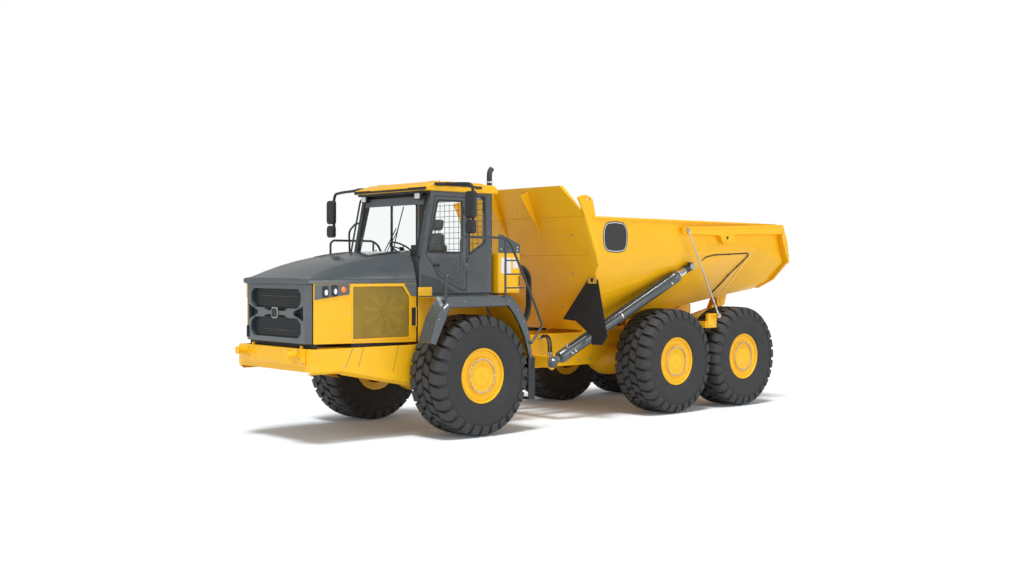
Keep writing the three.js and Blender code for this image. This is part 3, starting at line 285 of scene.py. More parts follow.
def lathe(profile, centre, axis, steps=48):
    """A profile of (along, radius) points turned about the line through centre along axis."""
    centre, axis = placed(centre), placed(axis).normalized()
    u = axis.orthogonal().normalized()
    v = axis.cross(u)
    ends = [profile[0][1] == 0, profile[-1][1] == 0]
    poles = [work.verts.new(centre + axis * profile[k][0]) if ends[k] else None for k in (0, -1)]
    made = []
    for c, s in circle((0, 0), 1, steps):
        line = [work.verts.new(centre + axis * at + (c * u + s * v) * radius)
                for at, radius in profile[ends[0]:len(profile) - ends[1]]]
        made.append(poles[:ends[0]] + line + poles[1:1 + ends[1]])
    count = len(profile)
    for k, a in enumerate(made):
        b = made[(k + 1) % steps]
        for i in range(count - 1 if all(ends) else count):
            j = (i + 1) % count
            corners = list(dict.fromkeys((a[i], a[j], b[j], b[i])))
            if len(corners) > 2:
                work.faces.new(corners)


def rod(start, end, radius, sides=24, chamfer=0.0):
    start, end = Vector(start), Vector(end)
    length = (end - start).length
    c = min(chamfer, length / 3, radius / 2)
    profile = [(0, 0), (0, radius), (length, radius), (length, 0)]
    if c:
        profile = [(0, 0), (0, radius - c), (c, radius), (length - c, radius), (length, radius - c),
                   (length, 0)]
    lathe(profile, start, end - start, sides)


def nut(centre, axis, across, height):
    """A hexagon head with a chamfered face, on its washer."""
    r = across / math.sqrt(3)
    lathe([(0, 0), (0, r * 1.25), (height * 0.22, r * 1.25), (height * 0.22, 0)], centre, axis, 10)
    lathe([(0, 0), (0, r), (height * 0.85, r), (height, r * 0.8), (height, 0)], centre, axis, 6)


def nuts(x, points, across, height):
    """Nuts at (y, z) points on an outer face at x."""
    for y, z in points:
        nut((x, y, z), (1, 0, 0), across, height)


def pipe(points, radius, sides=12, smooth=6):
    """A round tube along a smoothed path with closed ends."""
    line = rounded([placed(p) for p in points], smooth)
    rings = []
    normal = (line[1] - line[0]).normalized().orthogonal().normalized()
    for i, p in enumerate(line):
        ahead = (line[min(i + 1, len(line) - 1)] - line[max(i - 1, 0)]).normalized()
        normal = (normal - ahead * normal.dot(ahead)).normalized()
        across = ahead.cross(normal)
        rings.append([p + radius * (c * normal + s * across) for c, s in circle((0, 0), 1, sides)])
    join(rings)


def corner(before, at, after, reach, steps):
    """Points along a curve that cuts a corner from reach before it to reach after it."""
    a, b = at + (before - at).normalized() * reach, at + (after - at).normalized() * reach
    return [a * (1 - t) ** 2 + at * 2 * t * (1 - t) + b * t * t
            for t in (k / steps for k in range(steps + 1))]


def rounded(points, steps):
    """Points along a path whose corners are rounded, evenly enough for a tube."""
    p = [Vector(q) for q in points]
    if steps < 2 or len(p) < 3:
        return p
    line = [p[0]]
    for before, at, after in zip(p, p[1:], p[2:]):
        line += corner(before, at, after, CORNER_SHARE * min((before - at).length, (after - at).length),
                       steps)
    return line + [p[-1]]


def piece(name, look, body=FRONT, replaces=(), bevel=0.0, smooth=32, segments=2):
    """What was collected, finished as one object on a body."""
    global work
    bmesh.ops.recalc_face_normals(work, faces=work.faces)
    mesh = bpy.data.meshes.new(name)
    work.to_mesh(mesh)
    work.free()
    work = bmesh.new()
    mesh.materials.append(look)
    for polygon in mesh.polygons:
        polygon.use_smooth = True
    mesh.set_sharp_from_angle(angle=radians(smooth))
    made = bpy.data.objects.new(name, mesh)
    scene.collection.objects.link(made)
    if bevel:
        edges = made.modifiers.new("bevel", "BEVEL")
        edges.width = bevel
        edges.segments = segments
        edges.limit_method = "ANGLE"
        edges.angle_limit = radians(BEVEL_FROM)
        edges.use_clamp_overlap = True
        edges.harden_normals = True
    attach(made, body)
    if replaces:
        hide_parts(*replaces)
    return made


def refined(node, look, body):
    """A CAD node with its edges rounded, standing for it."""
    work.from_mesh(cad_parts[node].data)
    bmesh.ops.remove_doubles(work, verts=work.verts, dist=SAME_POINT)
    bmesh.ops.dissolve_limit(work, angle_limit=radians(SAME_PLANE), verts=work.verts, edges=work.edges)
    piece(node + "_body", look, body, replaces=(node,), bevel=0.006)


def plain(node, look):
    """A CAD node that stays, in a finished material."""
    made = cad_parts[node]
    for slot in made.material_slots:
        slot.material = look
    if not made.material_slots:
        made.data.materials.append(look)


# ---------------------------------------------------------------- plates with holes, outlines, screens
def plate(axis, loops, low, high):
    """A flat plate with holes: loops are the outline and then the holes, in the two other axes."""
    turned = mirror if axis else 1
    flat = [[Vector((turned * p[0], p[1], 0)) for p in loop] for loop in loops]
    total = [p for loop in loops for p in loop]
    under, over = [[work.verts.new(placed(p)) for p in raised(axis, total, at)] for at in (low, high)]
    for i, j, k in tessellate_polygon(flat):
        work.faces.new((under[i], under[j], under[k]))
        work.faces.new((over[k], over[j], over[i]))
    start = 0
    for loop in flat:
        n = len(loop)
        for i in range(start, start + n):
            j = start + (i + 1 - start) % n
            work.faces.new((under[i], under[j], over[j], over[i]))
        start += n


def circle(centre, radius, steps, start=0.0, squash=1.0):
    """Points round a circle in a plane, or an ellipse squash times as high."""
    turns = [start + TAU * k / steps for k in range(steps)]
    return [(centre[0] + radius * cos(t), centre[1] + radius * squash * sin(t)) for t in turns]


def along(start, end, count):
    """Evenly spaced points from start to end, both included."""
    start, end = Vector(start), Vector(end)
    return [start.lerp(end, k / (count - 1)) for k in range(count)]


def levels(start, end, count):
    """Evenly spaced numbers from start to end, both included."""
    return [p.x for p in along((start, 0, 0), (end, 0, 0), count)]


def round_outline(points, radius, steps=4):
    """An outline with its corners rounded."""
    p = [Vector(q) for q in points]
    line = []
    for before, at, after in zip(p[-1:] + p, p, p[1:] + p[:1]):
        line += corner(before, at, after, min(radius, CORNER_SHARE * (before - at).length,
                                              CORNER_SHARE * (after - at).length), steps)
    return [(q.x, q.y) for q in line]


def rectangle(x0, y0, x1, y1):
    return [(x0, y0), (x1, y0), (x1, y1), (x0, y1)]


def soft_rectangle(x0, y0, x1, y1, radius, steps=4):
    return round_outline(rectangle(x0, y0, x1, y1), radius, steps)


def inset(points, depth):
    """An outline moved inwards by depth, for outlines whose sides are longer than that."""
    p = [Vector(q) for q in points]
    area = sum(p[i - 1].x * p[i].y - p[i].x * p[i - 1].y for i in range(len(p)))
    sign = 1 if area > 0 else -1
    line = []
    for before, at, after in zip(p[-1:] + p, p, p[1:] + p[:1]):
        d1, d2 = (at - before).normalized(), (after - at).normalized()
        n1, n2 = Vector((-d1.y, d1.x)) * sign, Vector((-d2.y, d2.x)) * sign
        n = (n1 + n2).normalized()
        line.append(at + n * (depth / max(0.3, n.dot(n1))))
    return [(q.x, q.y) for q in line]


def frame_of(outline, grow, shrink, grow_radius, shrink_radius):
    """An outline grown outwards, and one shrunk inwards as its hole."""
    return [round_outline(inset(outline, -grow), grow_radius),
            round_outline(inset(outline, shrink), shrink_radius)]


def spans(axis, outline, low, high, pitch, width, angle):
    """Thin parallel bars across a convex outline, as one direction of a screen."""
    p = [Vector(q) for q in outline]
    c, s = cos(angle), sin(angle)
    reach = [q.x * -s + q.y * c for q in p]
    at = math.floor(min(reach) / pitch) * pitch
    while at < max(reach):
        hits = []
        for u, v in zip(p[-1:] + p, p):
            du, dv = u.x * -s + u.y * c - at, v.x * -s + v.y * c - at
            if (du < 0) != (dv < 0):
                hit = u.lerp(v, du / (du - dv))
                hits.append(hit.x * c + hit.y * s)
        if len(hits) == 2 and abs(hits[0] - hits[1]) > 0.02:
            t0, t1 = sorted(hits)
            corners = rectangle(t0, at - width / 2, t1, at + width / 2)
            slab(axis, [(t * c - w * s, t * s + w * c) for t, w in corners], low, high)
        at += pitch


# ---------------------------------------------------------------- cords
def cord_line(runs, step=0.02):
    """Points in Y and Z along straight runs and arcs: "line" start end, or "arc" centre radius from to."""
    line = []
    for kind, *rest in runs:
        if kind == "line":
            a, b = Vector(rest[0]), Vector(rest[1])
            n = max(2, int((b - a).length / step))
            part = [a.lerp(b, k / n) for k in range(n + 1)]
        else:
            centre, radius, start, end = rest
            n = max(3, int(abs(end - start) * radius / step))
            turns = [start + (end - start) * k / n for k in range(n + 1)]
            part = [Vector((centre[0] + radius * cos(t), centre[1] + radius * sin(t))) for t in turns]
        line += part if not line else part[1:]
    return line


def cord_tube(name, points, radius, sides, look, body, replaces):
    pipe(points, radius, sides, 0)
    made = piece(name, look, body, replaces, smooth=50)


HOSE_ROUTE = [("line", (-1.0765, 2.62), (-1.05, 2.62)), ("arc", (-1.05, 2.36), 0.26, pi / 2, 0),
              ("line", (-0.79, 2.36), (-0.79, 2.02)), ("arc", (-1.315, 2.02), 0.525, 0, -pi / 2),
              ("line", (-1.315, 1.495), (-1.4085, 1.495))]
for name, x, stands_for in (("inner_hose", 0.83, ("hose_loop",)), ("outer_hose", 0.892, ())):
    cord_tube(name, [(x, p.x, p.y) for p in cord_line(HOSE_ROUTE)], 0.028, 20, HOSE, FRONT, stands_for)
CABLE_X, CABLE_LOW, CABLE_HIGH = 1.764, (3.17, 1.72), (2.27, 3.28)
EYE_REACH, CABLE_R = 0.0425, 0.0138
for hand, s in SIDES:
    low, high = Vector((s * CABLE_X, *CABLE_LOW)), Vector((s * CABLE_X, *CABLE_HIGH))
    way = (high - low).normalized()
    a, b = low + way * EYE_REACH, high - way * EYE_REACH
    cord_tube(f"{hand}_gate_cable", [tuple(p) for p in along(a, b, 61)], CABLE_R, 12, STEEL,
              "tailgate_cables", (f"{hand}_tailgate_cable",))

# ---------------------------------------------------------------- wheels
TRACK = 1.385
TYRE_R = 0.935
AXLES = {"front": -2.53, "mid": 2.05, "rear": 4.0}
LUGS = 28
CROWN_R, SHOULDER = 0.868, 0.33
CARCASS = [(0.285, 0.33), (0.3, 0.405), (0.309, 0.424), (0.322, 0.44), (0.34, 0.475), (0.36, 0.55),
           (0.366, 0.6), (0.3655, 0.606), (0.3705, 0.612), (0.3725, 0.68), (0.3705, 0.716), (0.3745, 0.722),
           (0.3735, 0.74), (0.3675, 0.746), (0.36, 0.8), (0.345, 0.85), (0.318, 0.878), (0.27, 0.888),
           (0.14, 0.892)]


def tyre(name, centre, out, body):
    lathe(CARCASS + [(-x, r) for x, r in reversed(CARCASS)], centre, (out, 0, 0), 72)
    cx, cy, cz = centre

    def lug(stations, spin):
        """Blocks on the tread: stations of x, outer radius, and the two edges in radians."""
        rings = []
        for x, r, a, b, slope in stations:
            low = CROWN_R if abs(x) < SHOULDER else r - 0.035
            ring = []
            for angle, radius in ((a, low), (a + slope, r), (b - slope, r), (b, low)):
                t = angle + spin
                ring.append((cx + x, cy + radius * cos(t), cz + radius * sin(t)))
            rings.append(ring)
        skin(rings)

    pitch = TAU / LUGS
    taper, lean = 0.0045, 0.14 * pitch
    w, v = 0.405 * pitch, 0.36 * pitch  # half widths of the outer and the middle blocks
    for k in range(LUGS):
        for s in (1, -1):
            spin = k * pitch + (0.5 * pitch if s < 0 else 0)
            lug([(s * 0.168, 0.9335, -w - lean, w - lean, taper), (s * 0.25, 0.9315, -w, w, taper),
                 (s * 0.318, 0.921, -w * 0.96 + lean * 0.4, w * 0.96 + lean * 0.4, taper),
                 (s * 0.352, 0.898, -w * 0.9 + lean * 0.5, w * 0.9 + lean * 0.5, taper),
                 (s * 0.3735, 0.852, -w * 0.8 + lean * 0.5, w * 0.8 + lean * 0.5, taper * 1.3),
                 (s * 0.3745, 0.806, -w * 0.66 + lean * 0.5, w * 0.66 + lean * 0.5, taper * 1.6)], spin)
            lug([(s * 0.012, 0.9345, -v - lean * 1.6, v - lean * 1.6, taper),
                 (s * 0.085, 0.9345, -v - lean * 0.6, v - lean * 0.6, taper),
                 (s * 0.146, 0.934, -v + lean * 0.6, v + lean * 0.6, taper)], spin + 0.42 * pitch)
    piece(name, RUBBER, body, (name.replace("_tread", ""),), smooth=26)


RIM = [(-0.3, 0.3), (-0.317, 0.421), (-0.3, 0.423), (-0.298, 0.33), (0.286, 0.33), (0.296, 0.424),
       (0.312, 0.4275), (0.3225, 0.424), (0.3245, 0.415), (0.318, 0.403), (0.3, 0.396), (0.296, 0.388),
       (0.3, 0.381), (0.3, 0.366), (0.292, 0.355), (0.288, 0.3), (0.28, 0.294), (0.279, 0.284),
       (0.296, 0.281), (0.298, 0.276), (0.298, 0.232), (0.294, 0.226), (0.29, 0.215), (0.292, 0.19),
       (0.298, 0.1), (0.298, 0.0), (0.232, 0.0), (0.23, 0.285)]
NUTS = 40
NUT_R = 0.254
RIM_FACE = 0.298
CAP_BOLTS_R, PLUGS_R, PLUG_TURNS = 0.066, 0.155, (1.45, 4.59, 5.6)
VALVE_GAP = 0.03


def stub(s, at, height, radius, sides, chamfer):
    """A short rod standing out of a wheel's face."""
    rod(at, (at[0] + s * height, at[1], at[2]), radius, sides, chamfer)


for row, y in AXLES.items():
    for hand, s in SIDES:
        body = f"{row}_{hand}_wheel"
        centre = (s * TRACK, y, TYRE_R)
        tyre(f"{row}_{hand}_tyre_tread", centre, s, body)
        face = centre[0] + s * RIM_FACE
        lathe(RIM, centre, (s, 0, 0), 72)
        for a, b in circle((y, TYRE_R), CAP_BOLTS_R, 6, 0.3):
            nut((face, a, b), (s, 0, 0), 0.019, 0.012)
        for t in PLUG_TURNS:
            stub(s, (face, y + PLUGS_R * cos(t), TYRE_R + PLUGS_R * sin(t)), 0.012, 0.014, 12, 0.003)
        piece(f"{row}_{hand}_rim_disc", YELLOW, body, (f"{row}_{hand}_rim",), smooth=30)
        for k in range(NUTS):
            t = TAU * (k + 0.5) / NUTS
            if abs(cos(t)) < VALVE_GAP and sin(t) > 0:
                continue
            at = (face, y + NUT_R * cos(t), TYRE_R + NUT_R * sin(t))
            stub(s, at, 0.024, 0.014, 6, 0.003)
            stub(s, (face + s * 0.0235, at[1], at[2]), 0.0085, 0.006, 8, 0.002)
        stub(s, (face, y, TYRE_R + NUT_R), 0.03, 0.008, 10, 0.002)
        piece(f"{row}_{hand}_wheel_nuts", ZINC, body, smooth=20)

# ---------------------------------------------------------------- pieces that follow the CAD
for node, look, body in (("front_frame", YELLOW, FRONT), ("front_bumper", YELLOW, FRONT),
                         ("powertrain", DARK, FRONT), ("cooling_pack", PLASTIC, FRONT),
                         ("rear_cabinet", YELLOW, FRONT), ("cab_shell", CHARCOAL, FRONT),
                         ("articulation_yoke", YELLOW, "articulation"), ("rear_frame", YELLOW, "rear_unit"),
                         ("left_bogie_beam", YELLOW, "rear_unit"),
                         ("right_bogie_beam", YELLOW, "rear_unit"), ("dump_bed", YELLOW, "dump_bed"),
                         ("tailgate", YELLOW, "tailgate"), ("left_mud_flap", FLAP, "dump_bed"),
                         ("right_mud_flap", FLAP, "dump_bed"), ("cab_door", CHARCOAL, "cab_door"),
                         ("cooling_fan", TRIM, "cooling_fan"), ("front_axle", YELLOW, FRONT),
                         ("mid_axle", YELLOW, "rear_unit"), ("rear_axle", YELLOW, "rear_unit")):
    refined(node, look, body)
for node in ("windshield", "rear_window", "left_quarter_window", "right_window", "door_window"):
    plain(node, GLASS)

# ---------------------------------------------------------------- hood, grille and side panels
HOOD_CURVE = [(-5.16, 2.43), (-5.1, 2.452), (-5.0, 2.49), (-4.85, 2.548), (-4.65, 2.618), (-4.4, 2.684),
              (-4.1, 2.745), (-3.85, 2.787), (-3.6, 2.818), (-3.4, 2.838), (-3.235, 2.85)]
rings = []
for y, top in HOOD_CURVE:
    half = 0.92 + 0.03 * min(1, (y + 5.16) / 0.39)
    grow = top - 2.43
    outline = [(1, 2.35), (1, 2.405), (0.985, 2.418), (0.975, 2.425 + 0.16 * grow),
               (0.925, 2.425 + 0.52 * grow), (0.905, 2.425 + 0.6 * grow), (0.84, 2.425 + 0.9 * grow),
               (0.79, 2.42 + 0.97 * grow), (0.7, top)]
    ring = [(half * x, y, z) for x, z in outline] + [(-half * x, y, z) for x, z in reversed(outline)]
    rings.append(ring)
skin(rings)
piece("hood_top_skin", CHARCOAL, "hood", ("hood_top",), bevel=0.008, smooth=24)

# The vents at the rear of the crown, the lip seal and the seal under the grille.
for _ in sides():
    skin([[(x, y, z + dz) for x, dz in ((0.6, 0), (0.72, 0.0), (0.715, 0.008), (0.605, 0.008))]
          for y, z in ((-4.02, 2.752), (-3.8, 2.79), (-3.55, 2.822), (-3.36, 2.84))])
piece("hood_vent_frames", CHARCOAL, "hood", bevel=0.003)
for _ in sides():
    skin([[(x, y, z + dz) for x, dz in ((0.615, 0.004), (0.705, 0.004), (0.703, 0.0095), (0.617, 0.0095))]
          for y, z in ((-4.0, 2.756), (-3.8, 2.79), (-3.55, 2.822), (-3.38, 2.838))])
piece("hood_vent_slots", PLASTIC, "hood", bevel=0.001)
box((-0.9, 0.9), (-5.14, -5.1), (2.34, 2.352))
piece("hood_lip_seal", HOSE, "hood", bevel=0.003)
box((-0.88, 0.88), (-5.06, -4.98), (1.4, 1.47))
piece("hood_rest_seal", HOSE, bevel=0.004)

G_FRONT, G_BACK = -5.15, -5.085
UPPER = [(-0.62, 2.275), (0.62, 2.275), (0.7, 2.205), (0.7, 2.065), (0.6, 1.985), (0.34, 1.985),
         (0.25, 1.945), (-0.25, 1.945), (-0.34, 1.985), (-0.6, 1.985), (-0.7, 2.065), (-0.7, 2.205)]
LOWER = [(x, 3.83 - z) for x, z in UPPER]
NOTCH = [(0.765, 2.03), (0.765, 1.8), (0.5, 1.89), (0.5, 1.94)]
SMALL = [(-0.765, 2.03), (-0.765, 1.8), (-0.5, 1.89), (-0.5, 1.94)]
outer = [(-0.8, 1.48), (0.8, 1.48), (0.8, 2.345), (-0.8, 2.345)]
plate(1, [outer, round_outline(UPPER, 0.03), round_outline(LOWER, 0.03), round_outline(NOTCH, 0.02),
          round_outline(SMALL, 0.02)], G_FRONT, G_BACK)
for _ in sides():
    slab(2, [(0.8, G_FRONT), (0.9, -5.088), (0.9, -5.08), (0.8, -5.082)], 1.48, 2.345)
piece("grille_frame", CHARCOAL, "hood", ("grille",), bevel=0.008, segments=3)
box((-0.795, 0.795), (-5.078, -5.072), (1.49, 2.335))
piece("grille_backing", PLASTIC, "hood", bevel=0.001)
for z0, z1 in ((1.99, 2.27), (1.56, 1.84)):
    for z in levels(z0, z1, 9):
        box((-0.7, 0.7), (-5.1, -5.094), (z - 0.003, z + 0.003))
    for x in levels(-0.68, 0.68, 24):
        box((x - 0.003, x + 0.003), (-5.094, -5.088), (z0 - 0.02, z1 + 0.02))
piece("grille_screens", DARK, "hood", smooth=30)
slab(1, soft_rectangle(-0.085, 1.835, 0.085, 1.995, 0.05, 6), -5.168, G_FRONT - 0.0005)
piece("grille_badge_rim", ZINC, "hood", bevel=0.004)
slab(1, soft_rectangle(-0.072, 1.848, 0.072, 1.982, 0.042, 6), -5.172, -5.1685)
piece("grille_badge_face", PLASTIC, "hood", bevel=0.002)
for z, end in ((2.16, 0.52), (1.66, 0.4)):
    rod((-end, -5.0865, z), (end, -5.0865, z), 0.0035, 10)
piece("grille_inner_fittings", BRASS, "hood", bevel=0.001)
box((-0.8, -0.775), (-5.175, -5.15), (1.52, 1.7))
piece("grille_latch_handle", PLASTIC, "hood", bevel=0.006)

PANEL = [(-5.08, 1.48), (-3.235, 1.45), (-3.235, 2.35), (-5.08, 2.35)]
SCREEN = [(-4.425, 1.52), (-3.365, 1.52), (-3.365, 2.15), (-3.49, 2.32), (-4.425, 2.32)]
FAN_AT = (-3.82, 1.93)
PANEL_IN, PANEL_OUT = 0.915, 0.95
for hand in sides():
    plate(0, [PANEL, round_outline(SCREEN, 0.02)], PANEL_IN, PANEL_OUT)
    piece(f"{hand}_side_panel_skin", YELLOW, "hood", (f"{hand}_side_panel",), bevel=0.005)
    plate(0, frame_of(SCREEN, 0.012, 0.014, 0.03, 0.02), 0.9505, 0.9555)
    piece(f"{hand}_screen_frame", YELLOW, "hood", bevel=0.002)
    inner = inset(SCREEN, 0.002)
    spans(0, inner, 0.938, 0.9405, 0.0235, 0.0105, radians(40))
    spans(0, inner, 0.9405, 0.943, 0.0235, 0.0105, radians(-40))
    piece(f"{hand}_screen_mesh", WIRE, "hood", smooth=20)
    slab(0, inset(SCREEN, -0.005), 0.9085, 0.9125)
    piece(f"{hand}_screen_backing", CORE, "hood", bevel=0.001)
    for ring_r in (0.4, 0.27):
        line = [(0.921, y, z) for y, z in circle(FAN_AT, ring_r, 40, squash=0.93)]
        pipe(line + line[:1], 0.006, 6, 0)
    for k in range(9):
        t = TAU * k / 9
        ends = [(FAN_AT[0] + r * cos(t + d), FAN_AT[1] + r * 0.93 * sin(t + d)) for r, d in ((0.1, -0.1),
                (0.38, 0.02), (0.38, 0.3), (0.1, 0.3))]
        slab(0, ends, 0.914, 0.919)
    piece(f"{hand}_screen_fan_guard", WIRE, "hood", smooth=30)
    for p in along((-4.4, 1.506), (-3.39, 1.506), 5) + along((-4.4, 2.332), (-3.56, 2.332),
            4) + along((-4.438, 1.6), (-4.438, 2.25), 3):
        rod((0.955, p.x, p.y), (0.96, p.x, p.y), 0.011, 12, 0.002)
    piece(f"{hand}_screen_screws", ZINC, "hood")
    slab(0, [(-5.08, 2.12), (-4.475, 2.195), (-4.475, 2.347), (-5.08, 2.347)], 0.9505, 0.9585)
    slab(0, [(-3.475, 2.347), (-3.335, 2.155), (-3.24, 2.155), (-3.24, 2.347)], 0.956, 0.9605)
    piece(f"{hand}_lamp_strip", CHARCOAL, "hood", bevel=0.004)
    for y, z in ((-4.9, 2.235), (-4.74, 2.25)):
        slab(0, soft_rectangle(y - 0.05, z - 0.085, y + 0.05, z + 0.085, 0.03, 6), 0.9585, 0.968)
    piece(f"{hand}_lamp_bezels", PLASTIC, "hood", bevel=0.003)
    for y, z in ((-4.89, 2.225), (-4.73, 2.24)):
        slab(0, circle((y, z), 0.028, 20, squash=1.5), 0.968, 0.973)
    piece(f"{hand}_lamp_lenses", LENS, "hood", bevel=0.002)
    lathe([(0, 0), (0, 0.046), (0.012, 0.042), (0.017, 0.02), (0.018, 0)], (0.9585, -4.585, 2.265),
          (1, 0, 0), 24)
    piece(f"{hand}_indicator", AMBER, "hood")
    plate(0, [soft_rectangle(-3.352, 1.685, -3.238, 1.995, 0.012),
              soft_rectangle(-3.338, 1.699, -3.252, 1.981, 0.008)], 0.9557, 0.966)
    piece(f"{hand}_latch_frame", YELLOW, "hood", bevel=0.002)
    slab(0, rectangle(-3.339, 1.698, -3.251, 1.982), 0.9502, 0.9585)
    box((0.9585, 0.9645), (-3.31, -3.28), (1.8, 1.9))
    piece(f"{hand}_latch_recess", PLASTIC, "hood", bevel=0.001)

    # Fixed yellow cover between the hood's side panel and the fender, over the cab's cowl.
    slab(0, [(-3.205, 1.455), (-3.1, 1.455), (-2.935, 2.2), (-2.935, 2.29), (-3.205, 2.29)], 0.951, 0.958)
    slab(0, [(-3.095, 1.455), (-2.935, 1.455), (-2.935, 2.17)], 0.951, 0.9555)
    piece(f"{hand}_cowl_cover", YELLOW, bevel=0.003)
    nuts(0.958, ((-3.18, 1.52), (-3.18, 2.22), (-2.965, 2.24), (-2.97, 1.52)), 0.014, 0.006)
    piece(f"{hand}_cowl_bolts", ZINC)

# ---------------------------------------------------------------- bumper and nose
BUMPER_FACE, FLANGE_FACE, NOSE_SIDE, NOSE_SKIN = -5.2305, -5.24, 1.0002, 1.0004
STUD_X, STUD_Z = 0.694, 1.33
for hand in sides():
    slab(1, soft_rectangle(0.594, 1.235, 0.794, 1.405, 0.03), FLANGE_FACE, BUMPER_FACE)
    piece(f"{hand}_stud_flange", YELLOW, bevel=0.003)
    lathe([(0, 0), (0, 0.062), (0.1, 0.062), (0.112, 0.05), (0.135, 0.05), (0.145, 0.06), (0.158, 0.06),
           (0.1595, 0.0)], (STUD_X, -5.2402, STUD_Z), (0, -1, 0), 32)
    piece(f"{hand}_stud_sleeve", YELLOW)
    for dx, dz in ((-0.078, -0.062), (0.078, -0.062), (-0.078, 0.052), (0.078, 0.052)):
        nut((STUD_X + dx, FLANGE_FACE, STUD_Z + dz), (0, -1, 0), 0.022, 0.012)
    for x in (0.3, 0.48):
        nut((x, BUMPER_FACE, 1.385), (0, -1, 0), 0.018, 0.008)
    for k in range(3):
        nut((0.84 + 0.03 * k, BUMPER_FACE, 1.205), (0, -1, 0), 0.014, 0.006)
    piece(f"{hand}_bumper_bolts", ZINC)
    slab(1, soft_rectangle(0.45, 1.19, 0.55, 1.235, 0.01), -5.238, BUMPER_FACE)
    piece(f"{hand}_bumper_pad", YELLOW, bevel=0.002)
    # Seams, lower flange and bolts on the side of the nose.
    for (y0, z0), (y1, z1) in (((-4.45, 1.405), (-4.6, 1.08)), ((-4.26, 1.405), (-4.37, 1.06)),
                               ((-3.62, 1.405), (-3.74, 0.93)), ((-3.06, 1.39), (-3.17, 0.96))):
        slab(0, [(y0, z0), (y0 + 0.007, z0), (y1 + 0.007, z1), (y1, z1)], NOSE_SIDE, 1.0014)
    piece(f"{hand}_nose_seams", DARK, smooth=20)
    skin([[(x, y, z + dz) for x, dz in ((0.998, 0.012), (0.998, 0.0), (0.9, -0.035), (0.9, -0.023))]
          for y, z in ((-5.17, 1.07), (-4.64, 1.068), (-4.58, 1.045), (-3.41, 0.818))])
    slab(0, [(-4.55, 1.15), (-4.62, 1.083), (-4.58, 1.063), (-3.41, 0.835), (-3.3, 0.955)], NOSE_SKIN,
         1.0045)
    slab(0, soft_rectangle(-5.165, 1.245, -5.025, 1.355, 0.008), NOSE_SKIN, 1.006)
    piece(f"{hand}_nose_flange", YELLOW, bevel=0.003)
    nuts(NOSE_SIDE, ((-4.53, 1.36), (-4.6, 1.16), (-4.4, 1.36), (-3.7, 1.36), (-3.56, 1.36), (-3.8, 1.1),
                     (-3.15, 1.34), (-5.08, 1.36), (-5.08, 1.14)), 0.014, 0.007)
    piece(f"{hand}_nose_bolts", ZINC)

# ---------------------------------------------------------------- cab: trims, glass seals, wiper, lamps
def tube(name, look, body, runs, radius):
    for run in runs:
        pipe(run, radius)
    piece(name, look, body)


SCREEN_FOOT, SCREEN_SLOPE = (-3.14, 2.71), 0.2037


def wind(x, z, out=0.0):
    """A point on the sloped windscreen plane, out metres in front of it."""
    return (x, SCREEN_FOOT[0] + (z - SCREEN_FOOT[1]) * SCREEN_SLOPE - out, z)


rail = [(-0.81, 2.79), (0.81, 2.79), (0.81, 3.74), (-0.81, 3.74)]
outer, inner = inset(rail, -0.018), inset(rail, 0.03)
skin([[wind(x, z, out) for x, z in loop] for loop, out in ((outer, 0.004), (inner, 0.004), (inner, -0.024),
        (outer, -0.001))], closed=True)
piece("windshield_seal", HOSE, bevel=0.003)
band = [(-0.78, 3.58), (0.78, 3.58), (0.78, 3.705), (-0.78, 3.705)]
skin([[wind(x, z, 0.0005) for x, z in band], [wind(x, z, 0.0025) for x, z in band]])
piece("windshield_band", TRIM)

GLASS_SIDE, CAB_SIDE = 0.9002, 0.9003
DOOR_GLASS = [(-2.78, 3.65), (-2.978, 2.83), (-2.275, 2.83), (-2.275, 3.65)]
QUARTER = [(-2.13, 3.74), (-2.14, 2.8), (-1.8, 3.0), (-1.8, 3.74)]
RIGHT = [(-2.8, 3.7), (-3.02, 2.83), (-1.8, 2.83), (-1.8, 3.7)]
plate(0, frame_of(DOOR_GLASS, 0.012, 0.018, 0.04, 0.04), GLASS_SIDE, 0.905)
piece("door_glass_seal", HOSE, "cab_door", bevel=0.0015)
plate(0, frame_of(QUARTER, 0.012, 0.018, 0.04, 0.04), GLASS_SIDE, 0.905)
piece("quarter_glass_seal", HOSE, bevel=0.0015)
plate(0, frame_of(RIGHT, 0.012, 0.018, 0.04, 0.04), -0.905, -GLASS_SIDE)
box((-0.903, -0.872), (-2.36, -2.33), (2.83, 3.7))
piece("right_glass_seal", HOSE, bevel=0.0015)
DOOR_EDGE = [(-2.835, 3.72), (-3.015, 2.8), (-2.76, 2.46), (-2.33, 2.235), (-2.185, 2.235), (-2.185, 3.72)]
plate(0, frame_of(DOOR_EDGE, -0.001, 0.013, 0.02, 0.02), CAB_SIDE, 0.903)
piece("door_edge_seal", HOSE, "cab_door", bevel=0.001)
slab(0, round_outline([(-2.9, 2.7), (-2.74, 2.53), (-2.36, 2.335), (-2.24, 2.335), (-2.24, 2.76),
                       (-2.93, 2.76)], 0.03), CAB_SIDE, 0.9065)
piece("door_lower_pressing", CHARCOAL, "cab_door", bevel=0.004, segments=3)
slab(0, soft_rectangle(-2.86, 2.6, -2.74, 2.66, 0.02), 0.9067, 0.909)
pipe([(0.909, -2.845, 2.63), (0.935, -2.84, 2.63), (0.935, -2.77, 2.63), (0.909, -2.765, 2.63)], 0.008, 10,
     4)
piece("door_handle", PLASTIC, "cab_door", bevel=0.001)
